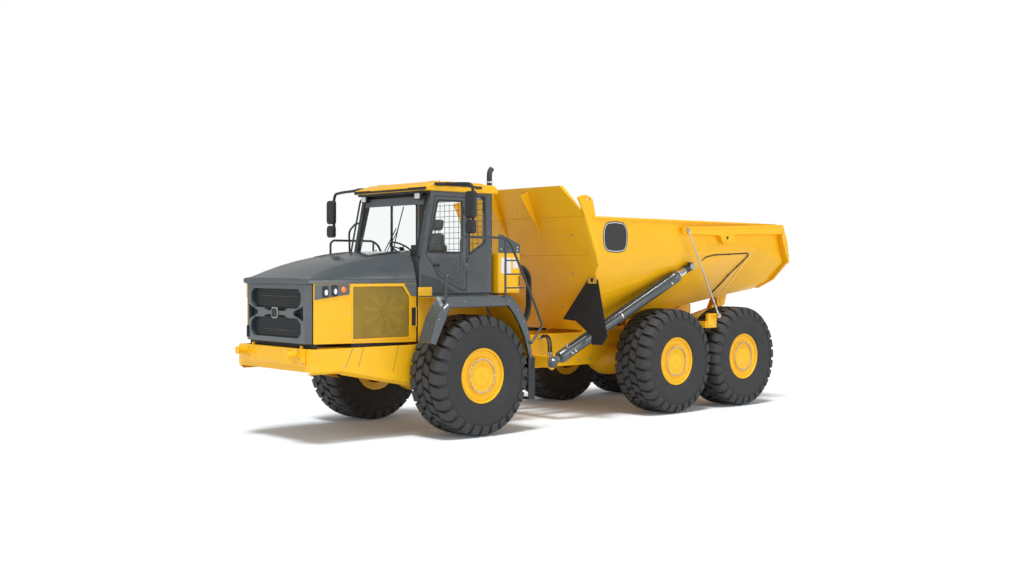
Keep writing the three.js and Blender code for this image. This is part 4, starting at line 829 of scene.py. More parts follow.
# Sills, pillar strips and the dark area under the door.
for hand in sides():
    slab(0, [(-2.93, 2.06), (-1.7, 2.06), (-1.7, 2.188), (-2.93, 2.188)], 0.6, 0.885)
    piece(f"{hand}_cab_sill", DARK, bevel=0.01)
    tube(f"{hand}_pillar_tube", DARK, FRONT,
         [[(0.895, -3.135, 2.74), (0.925, -3.165, 2.78), (0.925, -2.965, 3.7), (0.895, -2.93, 3.74)]],
         0.016)
slab(0, [(-3.1, 2.205), (-2.42, 2.205), (-2.8, 2.42), (-3.1, 2.5)], CAB_SIDE, 0.9045)
piece("door_foot_panel", DARK, bevel=0.002)
for z in (3.62, 2.72):
    box((CAB_SIDE, 0.912), (-2.16, -2.135), (z - 0.04, z + 0.04))
piece("jamb_hinge_plates", DARK, bevel=0.002)

# Wiper: two arms of a parallelogram and the blade.
pipe([wind(-0.02, 2.785, 0.045), wind(0.14, 3.1, 0.03), wind(0.2, 3.22, 0.022)], 0.008, 8, 3)
pipe([wind(0.05, 2.785, 0.045), wind(0.21, 3.1, 0.03), wind(0.235, 3.17, 0.022)], 0.007, 8, 3)
pipe([wind(0.195, 2.84, 0.008), wind(0.225, 3.2, 0.01), wind(0.28, 3.56, 0.008)], 0.009, 6, 3)
rod(wind(-0.02, 2.785, 0.05), wind(-0.02, 2.785, -0.01), 0.022, 14, 0.003)
rod(wind(0.05, 2.785, 0.05), wind(0.05, 2.785, -0.01), 0.018, 14, 0.003)
slab(1, soft_rectangle(-0.1, 2.745, 0.14, 2.8, 0.015), -3.137, -3.12)
piece("wiper", PLASTIC)

skin([[(x, -3.055, z) for z in (3.752, 3.795)] + [(x, -2.98, z) for z in (3.795, 3.77)]
      for x in (-0.86, 0.86)])
piece("sun_visor", PLASTIC, bevel=0.004)
for _ in sides():
    slab(2, [(0.96, -3.068), (0.5, -3.071), (0.5, -3.065), (0.96, -3.062)], 3.8, 3.845)
slab(1, [(-0.5, 3.8), (0.5, 3.8), (0.5, 3.835), (-0.5, 3.835)], -3.0745, -3.0702)
piece("roof_front_strip", PLASTIC, bevel=0.002)
for _ in sides():
    slab(1, soft_rectangle(0.645, 3.655, 0.795, 3.765, 0.02), -3.045, -2.985)
    box((0.7, 0.74), (-3.02, -2.99), (3.762, 3.8))
piece("work_lamp_housings", PLASTIC, bevel=0.006)
for _ in sides():
    slab(1, soft_rectangle(0.658, 3.668, 0.782, 3.752, 0.015), -3.051, -3.0455)
piece("work_lamp_lenses", LENS, bevel=0.002)
lathe([(0, 0), (0, 0.075), (0.012, 0.075), (0.016, 0.045), (0.028, 0.042), (0.03, 0)], (0.55, -2.3, 3.9501),
      (0, 0, 1), 28)
lathe([(0, 0), (0, 0.05), (0.012, 0.05), (0.018, 0.03), (0.02, 0)], (-0.45, -1.95, 3.9501), (0, 0, 1), 20)
for _ in sides():
    for y in levels(-2.75, -1.75, 5):
        nut((0.9, y, 3.951), (0, 0, 1), 0.016, 0.006)
piece("roof_fittings", PLASTIC)
ROOF = [(-3.07, 3.79), (-1.58, 3.79), (-1.58, 3.89), (-1.64, 3.94), (-2.78, 3.95), (-3.07, 3.86)]
rings = []
for x, low, back in ((-1.0, 0.035, 0.05), (-0.93, 0.012, 0.02), (-0.6, 0, 0), (0.6, 0, 0),
                     (0.93, 0.012, 0.02), (1.0, 0.035, 0.05)):
    rings.append([(x, y + (back if y < -3 else -back * 0.5), z - (low if z > 3.87 else 0))
                  for y, z in ROOF])
skin(rings)
piece("cab_roof_skin", YELLOW, FRONT, ("cab_roof",), bevel=0.014, segments=3, smooth=40)
for _ in sides():
    skin([[(x, y, 3.951 + dz) for x, dz in ((0.56, -0.004), (0.78, -0.004), (0.76, 0.012), (0.58, 0.012))]
          for y in (-2.74, -1.72)])
piece("roof_ribs", YELLOW, bevel=0.006, segments=3)

# ---------------------------------------------------------------- mirrors
for hand in sides():
    arm = [(0.965, -2.6, 3.905), (1.02, -2.93, 3.895), (1.1, -2.955, 3.875), (1.55, -2.9, 3.87),
           (1.8, -2.868, 3.855), (1.852, -2.865, 3.78), (1.852, -2.865, 3.14)]
    pipe(arm, 0.024, 12, 5)
    pipe([(1.015, -2.02, 3.87), (1.03, -2.2, 3.885), (1.03, -2.7, 3.885), (1.05, -2.9, 3.88)], 0.017, 10, 4)
    box((0.96, 1.04), (-2.7, -2.52), (3.9, 3.93))
    box((0.99, 1.04), (-2.08, -1.98), (3.85, 3.89))
    for z in (3.7, 3.38, 3.27, 3.15):
        box((1.835, 1.87), (-2.895, -2.84), (z - 0.02, z + 0.02))
    piece(f"{hand}_mirror_arm", PLASTIC, FRONT, (f"{hand}_mirror",), smooth=36)
    for x0, x1, z0, z1 in ((1.75, 1.97, 3.335, 3.742), (1.758, 1.965, 3.105, 3.312)):
        a = soft_rectangle(x0, z0, x1, z1, 0.055, 5)
        b = soft_rectangle(x0 + 0.022, z0 + 0.022, x1 - 0.022, z1 - 0.022, 0.045, 5)
        skin([[(x, -2.957, z) for x, z in b], [(x, -2.935, z) for x, z in a],
              [(x, -2.888, z) for x, z in a], [(x, -2.883, z) for x, z in b]])
    piece(f"{hand}_mirror_heads", PLASTIC, bevel=0.004, smooth=40)
    for x0, x1, z0, z1 in ((1.772, 1.948, 3.357, 3.72), (1.78, 1.943, 3.127, 3.29)):
        a = soft_rectangle(x0, z0, x1, z1, 0.04, 5)
        slab(1, a, -2.8828, -2.8805)
    piece(f"{hand}_mirror_glass", MIRROR)

# ---------------------------------------------------------------- fenders, rails, steps
ARCH = [(-3.57, 1.48), (-3.44, 1.86), (-3.23, 2.16), (-2.05, 2.16), (-1.93, 2.14), (-1.765, 1.96),
        (-1.648, 1.77), (-1.565, 1.54), (-1.504, 1.16)]


def arch_inset(depths):
    """The fender arch moved inwards by a depth at each of its points."""
    line = []
    for i, (y, z) in enumerate(ARCH):
        a, b = Vector(ARCH[max(i - 1, 0)]), Vector(ARCH[min(i + 1, len(ARCH) - 1)])
        run = (b - a).normalized()
        line.append((y + run.y * depths[i], z - run.x * depths[i]))
    return line


def arch_strip(x0, x1, outer, inner, first=0, last=None):
    o, n = arch_inset(outer)[first:last], arch_inset(inner)[first:last]
    rings = []
    for (ya, za), (yb, zb) in zip(o, n):
        rings.append([(x0, ya, za), (x1, ya, za), (x1, yb, zb), (x0, yb, zb)])
    return skin(rings)


RAIL_X = 1.746
RAIL = [(-3.3, 2.09), (-3.3, 2.44), (-3.26, 2.48), (-3.04, 2.56), (-3.01, 2.6), (-3.008, 3.01),
        (-2.95, 3.055), (-2.13, 3.057), (-2.01, 2.99), (-1.49, 2.03), (-1.33, 1.7), (-1.34, 1.64),
        (-1.56, 1.4)]
for hand in sides():
    flat = [0.0] * 9
    arch_strip(0.956, 1.7, flat, [0.018] * 9, 2)
    arch_strip(1.44, 1.7, flat, [0.018] * 9, 0, 3)
    box((0.905, 0.97), (-2.9, -1.7), (2.131, 2.159))
    piece(f"{hand}_fender_skin", CHARCOAL, FRONT, (f"{hand}_fender",), bevel=0.004)
    arch_strip(0.965, 1.695, [0.0185] * 9, [0.027] * 9, 2)
    arch_strip(1.445, 1.695, [0.0185] * 9, [0.027] * 9, 0, 3)
    slab(0, [(-2.92, 2.125), (-3.1, 1.46), (-1.95, 1.46), (-1.75, 1.8), (-1.95, 2.125)], 0.951, 0.963)
    piece(f"{hand}_arch_liner", YELLOW, bevel=0.003)
    arch_strip(1.7005, 1.7195, flat, [0.11, 0.165, 0.17, 0.16, 0.16, 0.155, 0.145, 0.115, 0.055])
    piece(f"{hand}_arch_band", CHARCOAL, bevel=0.008, segments=3)
    arch_strip(1.69, 1.723, [0.165, 0.165, 0.165, 0.16, 0.16, 0.155, 0.145, 0.115, 0.055],
               [0.176, 0.176, 0.176, 0.17, 0.17, 0.166, 0.156, 0.126, 0.064], 1)
    piece(f"{hand}_arch_edge", HOSE, bevel=0.003)
    slab(0, [(-3.325, 2.0), (-3.305, 1.975), (-3.225, 2.035), (-3.245, 2.06)], 1.7198, 1.7235)
    piece(f"{hand}_arch_reflector", LABEL, bevel=0.001)
    skin([[(x, -1.5 + dy, z) for x, dy in ((1.3, 0.004), (1.715, 0.004), (1.715, 0.016), (1.3, 0.016))]
          for z in (0.98, 1.2)])
    slab(1, rectangle(0.99, 0.9, 1.3, 1.5), -1.512, -1.5)
    piece(f"{hand}_arch_flap", FLAP, bevel=0.003)
    for x in (1.02, 1.12, 1.24):
        nut((x, -1.5, 1.46), (0, 1, 0), 0.018, 0.008)
    for x in (1.36, 1.5, 1.64):
        nut((x, -1.4835, 1.17), (0, 1, 0), 0.018, 0.008)
    nuts(1.7197, ((-3.4, 1.82), (-3.3, 1.95), (-2.9, 2.08), (-2.4, 2.08), (-2.0, 2.07), (-1.82, 1.93),
                  (-1.69, 1.75), (-1.62, 1.56)), 0.01, 0.0025)
    piece(f"{hand}_fender_bolts", ZINC)
    pipe([(RAIL_X, y, z) for y, z in RAIL], 0.0195, 12, 5)
    rod((RAIL_X, -2.11, 2.13), (RAIL_X, -2.11, 3.05), 0.0175, 12)
    for z in levels(2.28, 2.92, 4) if hand == "left" else []:
        rod((RAIL_X, -2.11, z), (RAIL_X, -1.9 + (2.92 - z) * 0.3, z), 0.012, 10)
    for y, z in ((-3.3, 2.1), (-2.11, 2.142), (-1.545, 1.4)):
        box((1.66, RAIL_X), (y - 0.025, y + 0.025), (z - 0.012, z + 0.012))
    piece(f"{hand}_handrail", DARK, smooth=40)
    box((1.3, 1.314), (-1.58, -1.44), (0.5, 1.17))
    box((1.696, 1.71), (-1.58, -1.44), (0.5, 1.17))
    x0, x1 = (1.314, 1.696)[::mirror]  # the treads are cut up alike on both sides
    for z in (0.505, 0.78, 1.055):
        plate(2, [rectangle(x0, -1.58, x1, -1.44)] +
              [[(x + a, y + b) for a, b in ((-0.03, -0.018), (0.03, -0.018), (0.03, 0.018), (-0.03, 0.018))]
               for x in (1.37, 1.46, 1.55, 1.64) for y in (-1.545, -1.475)], z, z + 0.024)
    piece(f"{hand}_steps", PLASTIC, bevel=0.003)
    box((0.525, 0.955), (-2.0, -1.9), (1.95, 2.01))
    box((0.525, 0.58), (-2.0, -1.9), (1.3, 1.95))
    box((0.935, 0.985), (-2.0, -1.9), (2.01, 2.13))
    piece(f"{hand}_fender_props", DARK, bevel=0.004)

# ---------------------------------------------------------------- cabinet behind the cab, stack, seat
for _ in sides():
    slab(0, [(-1.56, 2.835), (-1.08, 2.835), (-1.08, 2.98), (-1.46, 3.13), (-1.56, 3.14)], 0.951, 0.957)
piece("bracket_covers", CHARCOAL, bevel=0.003)
for _ in sides():
    nuts(0.957, ((-1.5, 3.08), (-1.5, 2.9), (-1.3, 3.02), (-1.14, 2.93), (-1.14, 2.88)), 0.02, 0.009)
    nuts(0.9585, ((-1.53, 2.8), (-1.11, 2.8), (-1.53, 2.22), (-1.11, 2.22)), 0.014, 0.007)
piece("bracket_bolts", ZINC)
for _ in sides():
    slab(0, soft_rectangle(-1.545, 2.205, -1.095, 2.815, 0.02), 0.9505, 0.958)
piece("cabinet_doors", YELLOW, bevel=0.003)
for _ in sides():
    for y0, z0, y1, z1 in ((-1.5, 2.5, -1.28, 2.76), (-1.24, 2.58, -1.13, 2.76)):
        slab(0, rectangle(y0, z0, y1, z1), 0.9582, 0.9592)
piece("cabinet_plates", LABEL, bevel=0.0003)
for _ in sides():
    pipe([(0.958, -1.12, 2.3), (0.985, -1.12, 2.31), (0.985, -1.12, 2.44), (0.958, -1.12, 2.45)], 0.007, 8,
         4)
piece("cabinet_handles", PLASTIC)

STACK_X, STACK_Y = 0.48, -1.34
line = rounded([(STACK_X, STACK_Y, 2.835), (STACK_X, STACK_Y, 4.155), (STACK_X, -1.328, 4.205),
                (STACK_X, -1.29, 4.25)], 6)
walls = []
for radius in (0.045, 0.04):
    rings = []
    for i, p in enumerate(line):
        ahead = (line[min(i + 1, len(line) - 1)] - line[max(i - 1, 0)]).normalized()
        across = ahead.cross(ACROSS)
        rings.append([p + radius * (u * ACROSS + v * across) for u, v in circle((0, 0), 1, 32)])
    walls.append(rings)
skin(walls[0] + walls[1][::-1], closed=True)
piece("exhaust_pipe", SOOT, FRONT, ("exhaust_stack",), smooth=40)
for z in (2.9, 3.42, 4.02):
    lathe([(-0.012, 0.0455), (-0.012, 0.052), (0.012, 0.052), (0.012, 0.0455)], (STACK_X, STACK_Y, z),
          (0, 0, 1), 32)
piece("exhaust_bands", STEEL)


def cushion(name, radius, rings, replaces=()):
    """A stuffed pad from a few rounded rings of half width, front, rear and height, smoothed."""
    skin([[(x, y, z) for x, y in soft_rectangle(-half, front, half, rear, radius, 2)]
          for half, front, rear, z in rings])
    made = piece(name, FABRIC, FRONT, replaces, smooth=180)
    soft = made.modifiers.new("soft", "SUBSURF")
    soft.levels = soft.render_levels = 2


cushion("seat_cushion", 0.05, [(0.2, -2.59, -2.16, 2.56), (0.235, -2.625, -2.14, 2.575),
                               (0.245, -2.635, -2.135, 2.62), (0.235, -2.62, -2.14, 2.675),
                               (0.17, -2.55, -2.18, 2.692)], ("operator_seat",))
cushion("seat_backrest", 0.04, [(0.18, -2.225, -2.14, 2.7), (0.225, -2.228, -2.115, 2.74),
                                (0.235, -2.195, -2.085, 2.95), (0.22, -2.165, -2.06, 3.1),
                                (0.17, -2.145, -2.05, 3.165)])
cushion("seat_headrest", 0.04, [(0.1, -2.135, -2.045, 3.205), (0.135, -2.14, -2.035, 3.225),
                                (0.14, -2.125, -2.02, 3.31), (0.125, -2.11, -2.005, 3.375),
                                (0.09, -2.095, -2.015, 3.39)])
slab(0, [(-2.5, 2.255), (-2.2, 2.255), (-2.24, 2.4), (-2.2, 2.545), (-2.5, 2.545), (-2.46, 2.4)], -0.17,
     0.17)
box((-0.22, 0.22), (-2.56, -2.15), (2.542, 2.556))
for _ in sides():
    box((0.252, 0.31), (-2.5, -2.17), (2.84, 2.875))
    box((0.255, 0.275), (-2.2, -2.15), (2.6, 2.875))
rod((0.05, -2.085, 3.12), (0.05, -2.08, 3.24), 0.006, 8)
rod((-0.05, -2.085, 3.12), (-0.05, -2.08, 3.24), 0.006, 8)
piece("seat_frame", PLASTIC, bevel=0.006)

slab(0, round_outline([(-3.06, 2.26), (-2.9, 2.26), (-2.9, 2.6), (-2.94, 2.695), (-3.0, 2.7),
                       (-3.06, 2.66)], 0.03), -0.6, 0.6)
box((-0.22, 0.22), (-2.97, -2.905), (2.69, 2.775))
slab(0, round_outline([(-2.99, 2.7), (-2.93, 2.7), (-2.95, 2.86), (-2.98, 2.86)], 0.01), 0.3, 0.46)
box((0.36, 0.56), (-2.55, -2.25), (2.27, 2.66))
piece("dash_body", TRIM, FRONT, ("dashboard",), bevel=0.008)
WHEEL_AT, TILT = Vector((0, -2.8, 2.89)), radians(32)
axis = Vector((0, sin(TILT), cos(TILT)))
up = Vector((0, cos(TILT), -sin(TILT)))
spokes = [u * ACROSS + v * up for u, v in circle((0, 0), 1, 40)]
skin([[WHEEL_AT + 0.205 * out + 0.014 * (u * out + v * axis) for u, v in circle((0, 0), 1, 10)]
      for out in spokes], closed=True)
for t in (-0.5, 2.0, 3.64):
    rod(WHEEL_AT, WHEEL_AT + 0.2 * (cos(t) * ACROSS + sin(t) * up), 0.011, 8)
lathe([(-0.02, 0), (-0.02, 0.03), (0.012, 0.05), (0.02, 0.04), (0.02, 0)], WHEEL_AT, axis, 20)
pipe([(0, -2.95, 2.6), (0, -2.9, 2.72), WHEEL_AT - axis * 0.015], 0.026, 12, 4)
piece("steering_wheel", PLASTIC, smooth=40)
for _ in sides():
    pipe([(0.52, -3.0, 2.66), (0.52, -2.96, 2.8), (0.52, -2.93, 2.88)], 0.012, 8, 3)
slab(1, soft_rectangle(0.44, 2.8, 0.62, 2.95, 0.02), -2.95, -2.92)
rod((-0.3, -2.4, 2.62), (-0.3, -2.44, 2.8), 0.014, 12, 0.003)
lathe([(0, 0), (0.0, 0.02), (0.03, 0.03), (0.055, 0.02), (0.06, 0)], (-0.3, -2.44, 2.79), (0, -0.2, 1), 14)
slab(0, soft_rectangle(-2.6, 2.27, -2.15, 2.6, 0.03), -0.5, -0.26)
piece("cab_controls", PLASTIC, bevel=0.004)
box((-0.83, 0.83), (-3.05, -1.73), (2.2502, 2.256))
box((-0.8, 0.8), (-1.735, -1.72), (2.26, 2.8))
box((-0.82, 0.82), (-2.85, -1.75), (3.7, 3.729))
piece("cab_lining", LABEL, bevel=0.002)
for z in levels(2.9, 3.64, 9):
    rod((-0.78, -1.7065, z), (0.78, -1.7065, z), 0.004, 6)
for x in levels(-0.74, 0.74, 13):
    rod((x, -1.712, 2.86), (x, -1.712, 3.68), 0.004, 6)
piece("rear_window_guard", PLASTIC)

# Grab rails at the right front corner of the cab.
tube("right_grab_rails", PLASTIC, FRONT,
     [[(-0.985, -3.02, 2.62), (-1.03, -3.1, 2.66), (-1.03, -3.12, 3.2), (-1.03, -2.99, 3.32),
       (-1.0, -2.93, 3.33), (-0.895, -2.9, 3.33)],
      [(-0.895, -3.0, 2.62), (-0.94, -3.01, 2.62), (-0.985, -3.02, 2.62)]], 0.017)

# ---------------------------------------------------------------- dump bed details
def head(x, z, out=0.0):
    """A point out metres in front of the sloped headboard."""
    return (x, 0.64 - (z - 1.4) * 0.42439 - out * 0.9205, z - out * 0.3907)


def wall(y, z, out=0.0):
    """A point out metres off the sloped lower side of the bed."""
    low, bend = 1.5 + (y - 0.595) * 0.1458, 2.78 + (y - 1.11) * 0.0576
    x = 0.82 + (z - low) / (bend - low) * 0.81
    return (x + out * 0.8, y, z - out * 0.6)


for _ in sides():
    skin([[(0.44 + dx, *head(0, 3.9, 0.001)[1:]), (0.44 + dx, *head(0, 3.9, 0.2)[1:]),
           (0.44 + dx, *head(0, 3.16, 0.012)[1:]), (0.44 + dx, *head(0, 3.13, 0.001)[1:])]
          for dx in (-0.009, 0.009)])
for z in (3.445, 2.8):
    skin([[head(x, z - 0.012, 0.0005), head(x, z - 0.008, 0.007), head(x, z + 0.008, 0.007),
           head(x, z + 0.012, 0.0005)] for x in (-1.6, 1.6)])
for _ in sides():
    skin([[head(x, z, out) for x, out in ((1.5, 0.0005), (1.5, 0.01), (1.628, 0.014), (1.628, 0.0005))]
          for z in (2.62, 3.44)])
    skin([[head(x, z, 0.0005), head(x, z, 0.009), head(x + 0.05, z, 0.009), head(x + 0.05, z, 0.0005)]
          for x, z in ((1.02, 2.02), (1.52, 2.6))])
piece("headboard_ribs", YELLOW, "dump_bed", bevel=0.003)
for x, z in ((0.0, 3.6), (0.95, 2.5), (0.45, 1.92), (-0.95, 2.5), (-0.45, 1.92), (1.2, 3.15), (-1.2, 3.15)):
    nut(head(x, z, 0.0005), (0, -0.9205, -0.3907), 0.028, 0.012)
piece("headboard_bolts", ZINC, "dump_bed")
BED_SIDE, GATE_SIDE, GATE_PIVOT = 1.6305, 1.7403, (3.425, 3.162)
for hand in sides():
    ear = round_outline([(-0.4, 3.775), (-0.2, 3.815), (-0.05, 3.755), (0.03, 3.44), (-0.22, 3.44),
                         (-0.31, 3.62)], 0.05, 4)
    plate(0, [ear, circle((-0.145, 3.735), 0.03, 16)], 1.592, 1.628)
    slab(0, [(-0.225, 3.449), (-0.125, 3.449), (0.155, 2.79), (0.052, 2.79)], BED_SIDE, 1.6385)
    slab(0, [(-0.06, 3.462), (5.08, 3.462), (5.08, 3.43), (-0.06, 3.43)], BED_SIDE, 1.645)
    slab(0, round_outline([(2.98, 3.05), (3.87, 3.05), (3.75, 3.3), (3.1, 3.3)], 0.05), BED_SIDE, 1.6365)
    piece(f"{hand}_bed_plates", YELLOW, "dump_bed", bevel=0.003)
    octagon = [(0.51 + a, 3.123 + b) for a, b in ((-0.22, -0.25), (0.0, -0.272), (0.22, -0.25),
            (0.295, -0.15), (0.31, 0.0), (0.295, 0.15), (0.22, 0.25), (0.0, 0.272), (-0.22, 0.25),
            (-0.295, 0.15), (-0.31, 0.0), (-0.295, -0.15))]
    slab(0, round_outline(octagon, 0.06), 1.6303, 1.6325)
    piece(f"{hand}_blank_plate_edge", PLASTIC, "dump_bed")
    slab(0, round_outline(inset(octagon, 0.018), 0.06), 1.6327, 1.6335)
    piece(f"{hand}_blank_plate_line", LABEL, "dump_bed")
    slab(0, round_outline(inset(octagon, 0.03), 0.055), 1.6337, 1.6345)
    piece(f"{hand}_blank_plate_face", PLASTIC, "dump_bed")
    outline = [(2.12, 2.4), (2.24, 2.74), (2.36, 2.81), (3.02, 2.85), (3.14, 2.5), (2.9, 2.3), (2.36, 2.22)]
    skin([[wall(y, z, out) for y, z in outline] for out in (0.0008, 0.012)])
    skin([[wall(y, z, out) for y, z in ((3.26, 2.02), (3.22, 2.84), (3.29, 2.85), (3.33, 2.03))]
          for out in (0.0008, 0.01)])
    skin([[wall(y, z, out) for y, z in ((4.36, 2.13), (4.36, 2.92), (4.43, 2.92), (4.43, 2.14))]
          for out in (0.0008, 0.01)])
    piece(f"{hand}_lift_patch", YELLOW, "dump_bed", bevel=0.003)
    run = [wall(2.93, 2.72, 0.014), wall(2.98, 2.81, 0.022), wall(3.2, 2.855, 0.022),
           wall(4.26, 2.9, 0.022), wall(4.34, 2.85, 0.022), wall(4.12, 2.48, 0.022), wall(4.06, 2.3, 0.022),
           wall(3.98, 2.14, 0.012)]
    pipe(run, 0.011, 10, 5)
    for y, z in ((3.3, 2.86), (3.65, 2.872), (4.0, 2.887), (4.22, 2.65), (4.12, 2.47)):
        a, b = wall(y, z, 0.001), wall(y, z, 0.034)
        rod(a, b, 0.014, 10, 0.003)
    piece(f"{hand}_bed_side_line", HOSE, "dump_bed")
    slab(1, [(1.3, 2.33), (1.5, 2.33), (1.5, 2.44), (1.3, 2.44)], 0.178, 0.1845)
    piece(f"{hand}_flap_clamp", YELLOW, "dump_bed", bevel=0.002)
    for a, b in ((1.33, 2.36), (1.47, 2.36), (1.33, 2.42), (1.47, 2.42)):
        nut((a, 0.178, b), (0, -1, 0), 0.024, 0.012)
    piece(f"{hand}_flap_bolts", ZINC, "dump_bed")
    lathe([(0, 0), (0, 0.034), (0.006, 0.034), (0.006, 0)], (1.4, 0.1775, 2.39), (0, -1, 0), 20)
    piece(f"{hand}_flap_hole", PLASTIC, "dump_bed")
    # Pivot disc of the tailgate and the end plates with their bolts.
    lathe([(0, 0.034), (0, 0.082), (0.008, 0.086), (0.014, 0.08), (0.014, 0.034)], (GATE_SIDE, *GATE_PIVOT),
          (1, 0, 0), 32)
    slab(0, round_outline([(5.1, 3.435), (5.19, 3.425), (5.33, 3.12), (5.385, 2.8), (5.36, 2.765),
                           (5.32, 2.8), (5.17, 3.15)], 0.03), GATE_SIDE, 1.748)
    slab(0, round_outline([(2.21, 3.225), (2.21, 3.325), (2.33, 3.332), (2.33, 3.225)], 0.035), GATE_SIDE,
         1.7475)
    slab(0, [(2.4, 3.332), (5.08, 3.44), (5.08, 3.412), (2.4, 3.304)], GATE_SIDE, 1.7455)
    piece(f"{hand}_gate_plates", YELLOW, "tailgate", bevel=0.0025)
    lathe([(0, 0), (0, 0.033), (0.01, 0.033), (0.01, 0)], (GATE_SIDE, *GATE_PIVOT), (1, 0, 0), 24)
    piece(f"{hand}_gate_pivot_hole", PLASTIC, "tailgate")
    nuts(1.748, ((5.16, 3.38), (5.2, 3.28), (5.24, 3.18), (5.28, 3.07), (5.315, 2.97), (5.345, 2.86)),
         0.024, 0.012)
    piece(f"{hand}_gate_bolts", ZINC, "tailgate")
for x in (-1.15, -0.4, 0.4, 1.15):
    skin([[(x + dx, y, z) for y, z in ((5.352, 2.8), (5.372, 2.8), (5.225, 3.36), (5.205, 3.36))]
          for dx in (-0.03, 0.03)])
piece("gate_ribs", YELLOW, "tailgate", bevel=0.004)

# ---------------------------------------------------------------- lift and steering cylinders
LIFT_PIN = (2.56, 2.63)
for hand in sides():
    body = f"{hand}_lift_barrel"
    base, eye = Vector((1.05, -0.4, 1.0)), Vector((1.59, *LIFT_PIN))
    axis = (eye - base).normalized()
    length = (eye - base).length
    pin = Vector((0.7018, -0.4376, 0.5622))
    lathe([(0.135, 0), (0.135, 0.085), (0.15, 0.102), (0.185, 0.11), (0.3, 0.1105), (0.305, 0.107),
           (2.93, 0.107), (2.935, 0.1098), (3.05, 0.1098), (3.07, 0.098), (3.08, 0.085), (3.08, 0.0645),
           (2.6, 0.0645), (2.6, 0)], base, axis, 48)
    lathe([(-0.062, 0.034), (-0.062, 0.076), (-0.054, 0.085), (0.054, 0.085), (0.062, 0.076),
           (0.062, 0.034)], base, pin, 36)
    rod(base + axis * 0.07, base + axis * 0.15, 0.062, 24)
    piece(f"{hand}_lift_tube", CHARCOAL, body, (f"{hand}_lift_barrel",), smooth=34)
    across = (ACROSS - axis * axis.x).normalized()
    lathe([(1.575, 0.1075), (1.575, 0.1125), (1.595, 0.1125), (1.595, 0.1075)], base, axis, 48)
    lathe([(3.081, 0.066), (3.081, 0.0855), (3.094, 0.0855), (3.094, 0.066)], base, axis, 32)
    for at in (0.42, 2.8):
        p = base + axis * at
        rod(p + across * 0.1, p + across * 0.15, 0.022, 12, 0.004)
    piece(f"{hand}_lift_bands", STEEL, body)
    over = axis.cross(across).normalized()
    over *= math.copysign(1, over.z)
    off = (across * 0.35 + over * 0.94).normalized()
    pipe([base + axis * 0.4 + off * 0.105, base + axis * 0.44 + off * 0.135,
          base + axis * 0.6 + off * 0.138, base + axis * 2.7 + off * 0.138,
          base + axis * 2.82 + off * 0.136, base + axis * 2.87 + off * 0.105], 0.014, 10, 4)
    for at in (0.9, 1.58, 2.3):
        rod(base + axis * at + off * 0.108, base + axis * at + off * 0.146, 0.019, 10, 0.003)
    piece(f"{hand}_lift_pipe", DARK, body)
    p = base + axis * 0.34
    rod(p + off * 0.1, p + off * 0.17, 0.02, 10, 0.003)
    rod(p + across * 0.1, p + across * 0.16, 0.018, 10, 0.003)
    nut(base + pin.normalized() * 0.064, pin, 0.04, 0.012)
    piece(f"{hand}_lift_fittings", STEEL, body)
    lathe([(0.7, 0), (0.7, 0.06), (length - 0.13, 0.06), (length - 0.12, 0.055), (length - 0.065, 0.055),
           (length - 0.06, 0)], base, axis, 40)
    piece(f"{hand}_lift_shaft", CHROME, f"{hand}_lift_rod", (f"{hand}_lift_rod",), smooth=34)
    lathe([(-0.04, 0.0475), (-0.04, 0.068), (-0.034, 0.074), (0.034, 0.074), (0.04, 0.068), (0.04, 0.0475)],
          eye, (1, 0, 0), 36)
    lathe([(length - 0.145, 0.0605), (length - 0.145, 0.068), (length - 0.075, 0.068),
           (length - 0.075, 0.0605)], base, axis, 32)
    piece(f"{hand}_lift_eye", PLASTIC, f"{hand}_lift_rod")
    lathe([(0, 0), (0, 0.047), (0.052, 0.047), (0.052, 0.062), (0.064, 0.06), (0.066, 0.0)],
          (1.578, *LIFT_PIN), (1, 0, 0), 28)
    nuts(1.644, circle(LIFT_PIN, 0.04, 5), 0.014, 0.009)
    piece(f"{hand}_lift_pin_cap", STEEL, "dump_bed")

    body = f"{hand}_steering_barrel"
    base, eye = Vector((0.55, -2.18, 1.05)), Vector((0.42, -0.73, 1.05))
    axis = (eye - base).normalized()
    length = (eye - base).length
    lathe([(0.075, 0), (0.075, 0.055), (0.1, 0.069), (0.92, 0.069), (0.93, 0.0695), (0.985, 0.0695),
           (1.0, 0.06), (1.0, 0.0375), (0.7, 0.0375), (0.7, 0)], base, axis, 36)
    lathe([(-0.058, 0.03), (-0.058, 0.06), (0.058, 0.06), (0.058, 0.03)], base, (0, 0, 1), 28)
    piece(f"{hand}_steering_tube", CHARCOAL, body, (f"{hand}_steering_barrel",), smooth=34)
    lathe([(0.6, 0), (0.6, 0.034), (length - 0.05, 0.034), (length - 0.05, 0)], base, axis, 28)
    piece(f"{hand}_steering_shaft", CHROME, f"{hand}_steering_rod", (f"{hand}_steering_rod",), smooth=34)
    lathe([(-0.036, 0.03), (-0.036, 0.058), (0.036, 0.058), (0.036, 0.03)], eye, (0, 0, 1), 28)
    piece(f"{hand}_steering_eye", CHARCOAL, f"{hand}_steering_rod", smooth=34)

